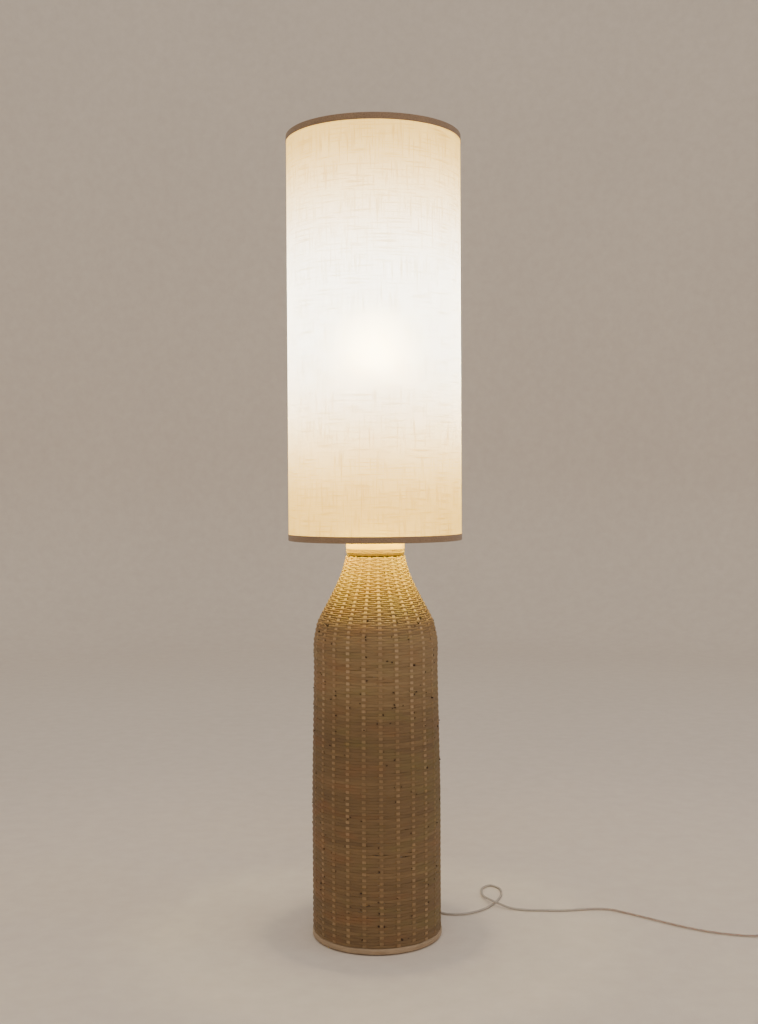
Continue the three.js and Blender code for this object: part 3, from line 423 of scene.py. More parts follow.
@dataclass(frozen=True)
class ClearSheet(Finish):
    """Clear polystyrene sheet, the shade's inner lining, rolled with a faint orange peel.

    Attributes:
        tints: Colours of the peel's low and high places.
        clearness: Tint of what is seen through it.
        clear: How clear it is, from 0 to 1.
        peel: Size of the orange peel.
    """

    tints: tuple[str, str] = ("#ece8dd", "#f6f3ea")
    clearness: str = "#fdfbf4"
    clear: float = 0.9
    peel: float = 6.0

    def dress(self, tree: Tree, shader: Node, place: Socket) -> None:
        """Makes a mostly clear sheet, so that light and shadow rays go through it."""
        peel = add_node(tree, "TexNoise", {
            "Vector": place, "Scale": 1 / (self.peel * MM), "Detail": 1.0})
        fill(shader, {
            "Base Color": add_node(tree, "ValToRGB", {"Fac": peel}, tuple(
                zip(NOISE, self.tints))),
            "Roughness": 0.22,
            "Normal": add_node(tree, "Bump", {
                "Height": peel, "Distance": 0.05 * MM, "Strength": 0.4})})
        seen_through = add_node(tree, "BsdfTransparent", {"Color": linear(self.clearness)})
        fill(tree.nodes["Material Output"], {
            "Surface": add_node(tree, "MixShader", {0: self.clear, 1: shader, 2: seen_through})})


@dataclass(frozen=True)
class ClearPvc(Finish):
    """Clear PVC cable jacket, extruded: glossy, a little milky, milkiest near the lamp.

    Attributes:
        milky: Colour of the milky stretch nearest the lamp.
        clear: Tint of the clear stretch.
        fades: Where along X the milky stretch starts to turn clear, and where it has.
        clearness: How clear the milky and the clear stretch are, from 0 to 1.
        haze: Size of the hazy patches, and how much clearer the clearest is.
    """

    milky: str = "#cfcac4"
    clear: str = "#f1ece6"
    fades: Pair = (330.0, 460.0)
    clearness: Pair = (0.2, 0.66)
    haze: Pair = (9.0, 0.22)

    def dress(self, tree: Tree, shader: Node, place: Socket) -> None:
        """Makes the jacket's haze, its fine drawn lines and its gloss."""
        start, end = self.fades
        along = add_node(tree, "MapRange", {
            "Value": add_node(tree, "SeparateXYZ", {0: place}).outputs["X"],
            **span(start * MM, end * MM)}, interpolation_type="SMOOTHSTEP")
        size, more = self.haze
        haze = add_node(tree, "TexNoise", {
            "Vector": place, "Scale": 1 / (size * MM), "Detail": 3.0})
        clear = add_node(tree, "MapRange", {"Value": along, **span(0.0, 1.0, *self.clearness)})
        varied = add_node(tree, "Math", {0: haze, 1: more, 2: clear}, operation="MULTIPLY_ADD")
        fill(shader, {
            "Base Color": add_node(tree, "Mix", {
                0: along, 6: linear(self.milky), 7: linear(self.clear)}, data_type="RGBA"),
            "Roughness": 0.18, "IOR": 1.53,
            "Normal": add_node(tree, "Bump", {
                "Height": haze, "Distance": 0.05 * MM, "Strength": 0.5})})
        seen_through = add_node(tree, "BsdfTransparent", {"Color": linear(self.clear)})
        fill(tree.nodes["Material Output"], {
            "Surface": add_node(tree, "MixShader", {0: varied, 1: shader, 2: seen_through})})


@dataclass(frozen=True)
class OpalGlass(Finish):
    """Opal-coated bulb glass, lit: its powder coat glows evenly, and less in the neck.

    Attributes:
        powder: Colours of the thin and the thick powder.
        light: Colours of the glow at the neck and on the globe.
        strength: Strength of the glow.
        neck: Heights between which the glow grows.
        neck_share: How much of it the neck has.
    """

    powder: tuple[str, str] = ("#f2e6cf", "#fff6e6")
    light: tuple[str, str] = ("#ffc98a", "#ffdfae")
    strength: float = 9.0
    neck: Pair = (950.0, 985.0)
    neck_share: float = 0.35

    def dress(self, tree: Tree, shader: Node, place: Socket) -> None:
        """Makes the powder coat's grain and its glow."""
        powder = add_node(tree, "TexNoise", {
            "Vector": place, "Scale": 1 / (2.5 * MM), "Detail": 4.0})
        start, end = self.neck
        high = add_node(tree, "MapRange", {
            "Value": add_node(tree, "SeparateXYZ", {0: place}).outputs["Z"],
            **span(start * MM, end * MM, self.neck_share, 1.0)})
        fill(shader, {
            "Base Color": add_node(tree, "ValToRGB", {"Fac": powder}, tuple(
                zip(NOISE, self.powder))),
            "Emission Color": add_node(tree, "Mix", {
                0: high, **{6 + i: linear(tint) for i, tint in enumerate(self.light)}},
                data_type="RGBA"),
            "Emission Strength": add_node(
                tree, "Math", {0: high, 1: self.strength}, operation="MULTIPLY"),
            "Roughness": 0.28})


# The finishes, each named for the real material and how its surface was made

# Split rattan peel: strips along the rows, brown from weaving wet.
RATTAN = WovenRattan("woven_rattan_peel", "rattan")
# Rattan stakes: paler, because the smooth outer skin faces out; their fibres run upwards.
STAKE = WovenRattan(
    "rattan_stake_peel", "rattan", deep="#705a3f", middle="#967d5a", pale="#c2a987",
    fibre=(0.7, 0.7, 40.0), relief=0.06)
# Cut ends and leaf scars: almost black, with a little brown.
SCAR = Grained(
    "rattan_leaf_scar", "binding", "#1d140c", "#4a3320", (0.8, 0.8, 0.8), (0.6, 0.85),
    relief=0.15, patch=8.0)
# Peeled cane, shaved smooth: pale cream, satin, fine fibres round the hoop.
CANE = Grained(
    "shaved_cane", "cane", "#bf9c5e", "#dfc488", (20.0, 20.0, 0.5), (0.38, 0.55),
    relief=0.05, patch=45.0, patch_share=0.18, coat=0.15)
# The foot's cane: the same cane, painted duller and browner as shade, for the dimmer light at
# the foot.
CANE_IN_PAINTED_SHADE = Grained(
    "shaded_shaved_cane", "cane", "#9b8468", "#c4ae92", (20.0, 20.0, 0.5), (0.5, 0.7),
    relief=0.06, patch=45.0, patch_share=0.22)
# Cane binding in the groove under the collar: dark brown and matt, near black as painted
# shade of the groove.
BINDING_AS_GROOVE_SHADE = Grained(
    "cane_binding_painted_as_groove_shade", "binding", "#2e1f12", "#503720", (12.0, 12.0, 0.5), (0.6, 0.8),
    relief=0.15, patch=20.0)
# Cotton tape, woven narrow: brown, matt, with a fine rib across.
TAPE = Grained(
    "woven_cotton_tape", "tape", "#7b644d", "#b0977c", (1.4, 1.4, 1.1), (0.75, 0.95),
    relief=0.2, patch=60.0, patch_share=0.12, sheen=0.2)
LINEN = LinenCloth("laminated_linen", "linen")
LINER = ClearSheet("clear_polystyrene_sheet", "liner")
# Zinc-plated steel: cool grey, semi-bright, with a faint crystal pattern.
ZINC = Grained(
    "zinc_plated_steel", "steel", "#9a9da1", "#c9ccd0", (2.0, 2.0, 2.0), (0.26, 0.44),
    relief=0.03, patch=18.0, metallic=1.0)
# Black-oxide steel wire, drawn: dark, lines along it.
DARK_STEEL = Grained(
    "black_oxide_wire", "dark_steel", "#26282b", "#44474b", (0.8, 0.8, 12.0), (0.4, 0.6),
    relief=0.04, patch=40.0, metallic=1.0)
# Brass tube, drawn and lacquered: warm yellow, long fine lines.
BRASS = Grained(
    "drawn_brass", "brass", "#b58a3c", "#dcb463", (0.5, 0.5, 30.0), (0.22, 0.38),
    relief=0.02, metallic=1.0, coat=0.3)
# Cast concrete: grey, dusty, with sand grains and pores.
CONCRETE = Grained(
    "cast_concrete", "concrete", "#75736e", "#a19e97", (1.6, 1.6, 1.6), (0.85, 0.97),
    relief=0.5, patch=28.0, patch_share=0.3)
# Pressed wood board: brown, fine chips.
BOARD = Grained(
    "pressed_board", "board", "#8f6c43", "#c19a68", (3.0, 3.0, 1.0), (0.7, 0.85),
    relief=0.15, patch=25.0)
# Nylon hook tape: black, matt, with a fine rib.
HOOK_TAPE = Grained(
    "nylon_hook_tape", "tie", "#17171a", "#34343a", (0.8, 0.8, 0.8), (0.75, 0.95),
    relief=0.3, patch=12.0, sheen=0.3)
# Wool felt, needled: charcoal, fuzzy.
FELT = Grained(
    "needled_felt", "felt", "#24221f", "#47423c", (0.9, 0.9, 0.9), (0.9, 1.0),
    relief=0.6, patch=14.0, sheen=0.5)
# Moulded ABS, spark-textured: off-white, low sheen.
PLASTIC = Grained(
    "moulded_abs", "white_plastic", "#dedcd5", "#efeee9", (0.7, 0.7, 0.7), (0.36, 0.5),
    relief=0.04, patch=22.0, patch_share=0.06, ior=1.53)
# Glazed porcelain: creamy and glossy, faintly wavy.
PORCELAIN = Grained(
    "glazed_porcelain", "porcelain", "#e4dfd3", "#f5f2ea", (7.0, 7.0, 7.0), (0.12, 0.24),
    relief=0.08, patch=15.0, patch_share=0.08, ior=1.52, coat=0.4)
# Black vitrite, the bulb's insulating glass.
VITRITE = Grained(
    "black_vitrite", "black_glass", "#0c0c0e", "#222226", (2.0, 2.0, 2.0), (0.1, 0.25),
    relief=0.06, patch=6.0, ior=1.6)
OPAL = OpalGlass("opal_coated_glass", "opal_glass")
PVC = ClearPvc("clear_pvc_jacket", "clear_cord")
# Tinned copper strands, twisted, seen through the jacket: silver and pinkish copper.
TINNED = Grained(
    "tinned_strands", "clear_cord", "#9c979a", "#dcd8d8", (0.6, 0.6, 0.6), (0.25, 0.4),
    relief=0.1, patch=5.0, metallic=1.0)
COPPER = Grained(
    "copper_strands", "clear_cord", "#a46a58", "#dea78f", (0.6, 0.6, 0.6), (0.28, 0.42),
    relief=0.1, patch=5.0, metallic=1.0)
# Painted plaster and floor: plain, pale, barely mottled.
PLASTER = Grained(
    "studio_plaster", "", "#e4dbd1", "#ebe3d9", (40.0, 40.0, 40.0), (0.75, 0.85),
    relief=0.0, patch=900.0, patch_share=0.03)


# Mesh helpers


def placed(name: str, data: bpy.types.ID) -> Piece:
    """Puts data into the scene as an object at the origin."""
    piece = bpy.data.objects.new(name, data)
    bpy.context.scene.collection.objects.link(piece)
    return piece


def carried(piece: Piece, finish: Finish, body: Body, nodes: Sequence[str]) -> None:
    """Gives a piece its finish, its body and the CAD nodes that it stands for."""
    piece.data.materials.append(finish.material())
    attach(piece, body.value)
    if nodes:
        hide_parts(*nodes)


def finished(
    shape: Shape, name: str, finish: Finish, nodes: Sequence[str] = (), body: Body = Body.BASE,
) -> Piece:
    """Makes a bmesh into a piece that rides on a body, shaded smooth but for its sharp edges.

    Args:
        shape: The bmesh, which is freed.
        name: The piece's name.
        finish: Its finish.
        nodes: The CAD nodes that it stands for.
        body: The body that it rides on.

    Returns:
        The new object, at the origin.
    """
    mesh = bpy.data.meshes.new(name)
    shape.to_mesh(mesh)
    shape.free()
    mesh.shade_smooth()
    mesh.set_sharp_from_angle(angle=math.radians(40))
    piece = placed(name, mesh)
    carried(piece, finish, body, nodes)
    LOG.info("%s: %d faces", name, len(mesh.polygons))
    return piece


def repaint(finish: Finish, *nodes: str) -> None:
    """Gives CAD nodes a finish."""
    for node in nodes:
        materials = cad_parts[node].data.materials
        materials.clear()
        materials.append(finish.material())
        LOG.info("%s: %s", node, finish.name)


def bevel(shape: Shape, edges: Sequence[bmesh.types.BMEdge], offset: float) -> None:
    """Rounds edges of a shape by an offset in millimetres."""
    bmesh.ops.bevel(
        shape, geom=edges, offset=offset * MM, offset_type="OFFSET", segments=3, profile=0.5,
        affect="EDGES", material=-1, clamp_overlap=True)


def softened(finish: Finish, edges: Mapping[str, float], body: Body = Body.BASE) -> None:
    """Makes CAD nodes' shapes again, with their sharp corners rounded.

    Args:
        finish: Their finish.
        edges: By node, how round its corners get, in millimetres.
        body: The body that they ride on.
    """
    for node, edge in edges.items():
        shape = bmesh.new()
        shape.from_mesh(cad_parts[node].data)
        bmesh.ops.remove_doubles(shape, verts=shape.verts, dist=SAME_PLACE)
        bmesh.ops.dissolve_limit(
            shape, angle_limit=math.radians(1), verts=shape.verts, edges=shape.edges)
        bevel(shape, [
            side for side in shape.edges
            if len(side.link_faces) == 2 and side.calc_face_angle() > math.radians(40)], edge)
        bmesh.ops.recalc_face_normals(shape, faces=shape.faces)
        finished(shape, f"{node}_dressed", finish, [node], body)


def spun(shape: Shape, steps: int) -> None:
    """Turns all of a shape's points and edges once round the Z axis, into one closed skin."""
    bmesh.ops.spin(
        shape, geom=shape.verts[:] + shape.edges[:], cent=(0, 0, 0), axis=(0, 0, 1),
        dvec=(0, 0, 0), angle=math.tau, steps=steps, use_merge=True, use_duplicate=False)


def turned(profile: Profile, steps: int = 128, closed: bool = True) -> Shape:
    """Turns an outline round the Z axis.

    Args:
        profile: Corners as (radius, z), in millimetres.
        steps: How many faces go round.
        closed: Whether the last corner joins the first.

    Returns:
        The turned shape, with its faces outwards.
    """
    shape = bmesh.new()
    corners = [shape.verts.new((radius * MM, 0, z * MM)) for radius, z in profile]
    for pair in zip(corners, corners[1:] + (corners[:1] if closed else [])):
        shape.edges.new(pair)
    spun(shape, steps)
    bmesh.ops.remove_doubles(shape, verts=shape.verts, dist=SAME_PLACE)
    bmesh.ops.recalc_face_normals(shape, faces=shape.faces)
    return shape


def round_part(
    node: str, profile: Profile, finish: Finish, edge: float = 0.0, steps: int = 72,
    body: Body = Body.BASE, turn: Matrix = Matrix.Identity(4),
) -> None:
    """Makes a turned part with softened corners in place of a CAD node.

    Args:
        node: The node's name.
        profile: Corners as (radius, z), in millimetres.
        finish: The finish.
        edge: How round its corners get, in millimetres; 0 leaves them.
        steps: How many faces go round.
        body: The body that it rides on.
        turn: Takes the part from the Z axis to its place, in metres.
    """
    shape = turned(profile, steps=steps)
    if edge:
        bevel(shape, rims_of(shape), edge)
    bmesh.ops.transform(shape, matrix=turn, verts=shape.verts)
    finished(shape, f"{node}_dressed", finish, [node], body)


def rims_of(shape: Shape) -> list[bmesh.types.BMEdge]:
    """Gives the edges that run round a turned shape at its corners."""
    rims = []
    for side in shape.edges:
        start, end = (vert.co for vert in side.verts)
        if abs(start.z - end.z) < SAME_LEVEL \
                and abs(start.xy.length - end.xy.length) < SAME_LEVEL \
                and side.calc_face_angle(0.0) > math.radians(25):
            rims.append(side)
    return rims


def box_profile(box: Point4) -> Profile:
    """Gives a square-cornered outline from its inner and outer radius, low and high."""
    inner, outer, low, high = box
    return [(inner, low), (outer, low), (outer, high), (inner, high)]


def threaded(
    outer: float, inner: float, low: float, high: float, pitch: float, depth: float,
) -> Profile:
    """Gives the outline of a wall whose outside is rolled or cut into rings like a thread."""
    count = round((high - low) / pitch * 2)
    rings = [
        (outer - (depth if i % 2 else 0.0), low + (high - low) * i / count)
        for i in range(count + 1)]
    return [(inner, low), *rings, (inner, high)]


def smooth_line(points: Sequence[Point], step: float) -> list[Vector]:
    """Runs a centripetal curve through points, the same curve as the CAD cord's.

    Args:
        points: The points, in millimetres.
        step: About how far apart the curve's own points lie, in millimetres.

    Returns:
        The curve's points, in metres.
    """
    knots = [Vector(point) for point in points]
    knots = [2 * knots[0] - knots[1], *knots, 2 * knots[-1] - knots[-2]]
    line = []
    for before, start, end, after in zip(knots, knots[1:], knots[2:], knots[3:]):
        gaps = [max((q - p).length, 1e-6) ** 0.5 for p, q in (
            (before, start), (start, end), (end, after))]
        leave = (start - before) / gaps[0] - (end - before) / (gaps[0] + gaps[1]) \
            + (end - start) / gaps[1]
        arrive = (end - start) / gaps[1] - (after - start) / (gaps[1] + gaps[2]) \
            + (after - end) / gaps[2]
        leave, arrive = leave * gaps[1], arrive * gaps[1]
        count = max(1, round((end - start).length / step))
        for i in range(count):
            t = i / count
            line.append((
                (2 * t ** 3 - 3 * t ** 2 + 1) * start + (t ** 3 - 2 * t ** 2 + t) * leave
                + (3 * t ** 2 - 2 * t ** 3) * end + (t ** 3 - t ** 2) * arrive) * MM)
    return [*line, knots[-2] * MM]


def length_of(line: Sequence[Vector]) -> float:
    """Measures a line of points, in its own unit."""
    return sum((b - a).length for a, b in zip(line, line[1:]))


def strand(
    name: str, line: Sequence[Vector], radius: float, finish: Finish, nodes: Sequence[str] = (),
) -> Piece:
    """Makes a round strand along a line, as a curve of one open spline.

    Args:
        name: The piece's name.
        line: Its centreline, in metres.
        radius: Its radius, in millimetres.
        finish: Its finish.
        nodes: The CAD nodes that it stands for.

    Returns:
        The curve object.
    """
    curve = bpy.data.curves.new(name, "CURVE")
    curve.dimensions = "3D"
    curve.bevel_depth = radius * MM
    curve.bevel_resolution = 3
    curve.use_fill_caps = True
    spline = curve.splines.new("POLY")
    spline.points.add(len(line) - 1)
    for point, place in zip(spline.points, line):
        point.co = (*place, 1.0)
    spline.use_smooth = True
    piece = placed(name, curve)
    carried(piece, finish, Body.BASE, nodes)
    LOG.info("%s: %.3f m", name, length_of(line))
    return piece


# The studio


@dataclass
class Studio:
    """The camera, the plain floor and backdrop, and the light.

    Attributes:
        camera_place: Where the camera stands.
        pitch: How far it looks down, in radians, negative for down.
        roll: How far its up leans to +X, in radians.
        lens: Focal length, for a sensor of 36 on the long side.
        reach: Radius of the round backdrop.
        height: Its height.
        floor: Height of the floor, just under the felt and the cord.
        sweep: Radius of the curve where the floor runs up into the backdrop.
        sky: Colour and strength of the light from all round.
        soft_lights: Two large lights: name, watts, colour, place, aim and size, in metres.
        bulb: Watts, colour, middle height and radius of the bulb's light.
        panels: How many small lights stand for the lit inside of the shade's lower edge.
        panel: Watts and colour of one of them.
        panel_size: Their width and height, in metres.
        panel_spread: How wide they shine, in degrees.
        panel_place: How far out they stand and how high, in metres.
        panel_aim: The same of the point on the neck that they shine at.
    """

    camera_place: Point = (7.0, -2182.9, 779.8)
    pitch: float = -0.0221
    roll: float = 0.0053
    lens: float = 44.42
    reach: float = 4600.0
    height: float = 3600.0
    floor: float = -0.4
    sweep: float = 900.0
    sky: tuple[str, float] = ("#efe6dc", 0.79)
    soft_lights: Sequence[tuple[str, float, str, Point, Point, float]] = (
        ("front", 26.0, "#fff1e2", (-0.2, -2.9, 3.3), (0, 0, 0.8), 2.4),
        ("side", 14.0, "#f4f1ff", (3.2, -1.0, 2.4), (0, 0, 0.6), 2.0))
    bulb: tuple[float, str, float, float] = (145.0, "#ffe8ac", 1000.2, 31.0)
    panels: int = 8
    panel: tuple[float, str] = (0.16, "#ffdc2c")
    panel_size: Pair = (0.08, 0.03)
    panel_spread: float = 86.0
    panel_place: Pair = (0.124, 0.712)
    panel_aim: Pair = (0.03, 0.632)

    def camera(self) -> None:
        """Sets the camera where the photograph was taken."""
        data = bpy.data.cameras.new("camera")
        data.sensor_width = 36.0
        data.lens = self.lens
        data.clip_start, data.clip_end = 0.05, 60.0
        camera = placed("camera", data)
        camera.matrix_world = (
            Matrix.Translation(Vector(self.camera_place) * MM)
            @ Matrix.Rotation(self.roll, 4, "Y")
            @ Matrix.Rotation(math.pi / 2 + self.pitch, 4, "X"))
        bpy.context.scene.camera = camera

    def backdrop(self) -> None:
        """Makes one plain round floor that sweeps up into a plain wall all round."""
        start, steps = self.reach - self.sweep, 12
        profile = [(0.0, self.floor), (start, self.floor)]
        for i in range(1, steps + 1):
            turn = i / steps * math.pi / 2
            profile.append((
                start + self.sweep * math.sin(turn),
                self.floor + self.sweep * (1 - math.cos(turn))))
        profile.append((self.reach, self.height))
        shape = turned(profile, steps=96, closed=False)
        bmesh.ops.reverse_faces(shape, faces=shape.faces)
        mesh = bpy.data.meshes.new("backdrop")
        shape.to_mesh(mesh)
        shape.free()
        mesh.shade_smooth()
        mesh.materials.append(PLASTER.material())
        placed("backdrop", mesh)

    def light(
        self, name: str, kind: str, watts: float, colour: str, place: Point, aim: Point,
        **settings: object,
    ) -> Piece:
        """Adds one light.

        Args:
            name: Its name.
            kind: "AREA" or "POINT".
            watts: Its power.
            colour: Its colour.
            place: Where it stands, in metres.
            aim: What it points at, in metres.
            **settings: Its own sizes, in metres.

        Returns:
            The light's object.
        """
        data = bpy.data.lights.new(name, kind)
        data.energy = watts
        data.color = linear(colour)[:3]
        for key, value in settings.items():
            setattr(data, key, value)
        lamp = placed(name, data)
        lamp.location = place
        lamp.rotation_mode = "QUATERNION"
        lamp.rotation_quaternion = (Vector(aim) - Vector(place)).to_track_quat("-Z", "Y")
        return lamp

    def lights(self) -> None:
        """Sets a soft sky, two large soft lights, the bulb's light and the lit shade's light."""
        world = bpy.data.worlds.new("studio")
        bpy.context.scene.world = world
        world.use_nodes = True
        colour, strength = self.sky
        fill(world.node_tree.nodes["Background"], {
            "Color": linear(colour), "Strength": strength})
        for name, watts, colour, place, aim, size in self.soft_lights:
            self.light(name, "AREA", watts, colour, place, aim, size=size)
        watts, colour, middle, radius = self.bulb
        inside = [self.light(
            "bulb_light", "POINT", watts, colour, (0, 0, middle * MM), (0, 0, 0),
            shadow_soft_size=radius * MM)]
        size, size_y = self.panel_size
        for number in range(self.panels):
            turn = (number + 0.5) / self.panels * math.tau
            place, aim = (
                (out * math.cos(turn), out * math.sin(turn), up)
                for out, up in (self.panel_place, self.panel_aim))
            inside.append(self.light(
                f"shade_glow_{number + 1}", "AREA", *self.panel, place, aim,
                shape="RECTANGLE", size=size, size_y=size_y,
                spread=math.radians(self.panel_spread)))
        for lamp in inside:
            lamp.visible_camera = False


# The cord, from the foot to the plug


@dataclass
class Cord:
    """The clear two-core cord in its two stretches, each with its twisted conductors.

    Attributes:
        route: Its way over the floor from the foot to the switch, as in the part's source.
        radius: The jacket's radius.
        core_radius: The radius of one conductor.
        core_offset: How far a conductor's middle lies from the cord's.
        lay: Length of one twist of the conductors.
        coil_middle: Where the coil's middle is, in X and Y.
        coil_inner: Radius of its innermost turn.
        coil_pitch: Distance between its turns, and between its two layers.
        coil_low: Height of its lower layer.
        layer_turns: How many turns a layer has.
        climb_turns: How far round the cord climbs from one layer to the other.
        steps_per_turn: Points of the coil's line in one turn.
        lead: Its way from the switch to the coil.
        plug_tip: Where it ends in the plug.
    """

    route: Sequence[Point] = (
        (0, 137.7, 26), (0, 146, 26), (1, 155, 22.5), (3, 165, 14), (7, 175, 6), (14, 184, 2.6),
        (27, 191, 2.1), (43, 190, 2.1), (60, 178, 2.1), (75, 158, 2.1), (89, 134, 2.1),
        (101, 111, 2.1), (114, 93, 2.1), (132, 84, 2.1), (155, 85, 2.1), (178, 96, 2.1),
        (198, 114, 2.1), (215, 140, 2.1), (228, 169, 2.1), (235, 200, 2.1), (233, 229, 2.1),
        (218, 246, 2.1), (203, 232, 2.1), (198, 205, 2.1), (200, 177, 3.6), (207, 152, 6.8),
        (221, 130, 6.8), (243, 113, 3.2), (271, 105, 2.1), (306, 102, 2.1), (341, 101, 2.1),
        (373, 106, 2.1), (402, 109, 2.1), (428, 103, 2.1), (450, 86, 2.1), (481, 60, 2.1),
        (512, 33, 2.1), (543, 8, 2.1), (575, -12, 2.1), (607, -25, 2.1), (640, -33.4, 2.4),
        (656, -35.6, 3.4), (671.7, -36, 4.2),
    )
    radius: float = 2.0
    core_radius: float = 0.62
    core_offset: float = 0.78
    lay: float = 20.0
    coil_middle: Pair = (792.0, -5.0)
    coil_inner: float = 17.2
    coil_pitch: float = 4.6
    coil_low: float = 3.3
    layer_turns: int = 3
    climb_turns: float = 0.5
    steps_per_turn: int = 48
    lead: Sequence[Point] = (
        (758.3, -36.0, 4.2), (768.0, -36.0, 3.9), (778.0, -36.0, 3.5), (785.0, -36.0, 3.35))
    plug_tip: Point = (780.3, 26.0, 7.0)

    def wound(self) -> list[Point]:
        """Gives the coil's points: in three turns, up half a turn, and out three turns."""
        turns = 2 * self.layer_turns + self.climb_turns
        points = []
        for i in range(round(turns * self.steps_per_turn) + 1):
            turn = i / self.steps_per_turn
            climb = put((turn - self.layer_turns) / self.climb_turns)
            climb = climb * climb * (3 - 2 * climb)
            off = abs(turn - self.layer_turns - self.climb_turns / 2)
            reach = self.coil_inner + (off - self.climb_turns / 2) * self.coil_pitch
            angle = -math.pi / 2 + turn * math.tau
            points.append((
                self.coil_middle[0] + reach * math.cos(angle),
                self.coil_middle[1] + reach * math.sin(angle),
                self.coil_low + climb * self.coil_pitch))
        return points

    def cores(self, name: str, line: Sequence[Vector]) -> list[Piece]:
        """Twists two conductors round each other inside a stretch of the jacket.

        Args:
            name: The stretch's name.
            line: Its centreline, in metres.

        Returns:
            The two conductors.
        """
        ways: list[list[Vector]] = [[], []]
        travelled = 0.0
        for i, here in enumerate(line):
            before, after = line[max(i - 1, 0)], line[min(i + 1, len(line) - 1)]
            ahead = (after - before).normalized()
            side = Vector((0, 0, 1)).cross(ahead).normalized()
            lift = ahead.cross(side)
            if i:
                travelled += (here - line[i - 1]).length
            angle = travelled / (self.lay * MM) * math.tau
            away = (side * math.cos(angle) + lift * math.sin(angle)) * self.core_offset * MM
            ways[0].append(here + away)
            ways[1].append(here - away)
        return [
            strand(f"{name}_{kind}_core", way, self.core_radius, finish)
            for kind, way, finish in zip(("tinned", "copper"), ways, (TINNED, COPPER))]

    def stretch(
        self, name: str, points: Sequence[Point], nodes: Sequence[str],
    ) -> None:
        """Lays one stretch of the cord.

        Args:
            name: The stretch's name.
            points: Its way, from its exit to its far end.
            nodes: The CAD nodes that it stands for.
        """
        line = smooth_line(points, 2.0)
        piece = strand(name, line, self.radius, PVC, nodes)
        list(self.cores(name, line))

    def build(self) -> None:
        """Lays the cord from the foot to the switch, and on through its coil to the plug."""
        self.stretch("cord_to_switch", self.route, ["cord_free"])
        wound = self.wound()
        x, y, z = wound[-1]
        self.stretch(
            "cord_to_plug", [*self.lead, *wound, (x - 4.0, y, z - 0.1), self.plug_tip],
            ["cord_lead", "cord_coil", "cord_tail"])


# The woven body


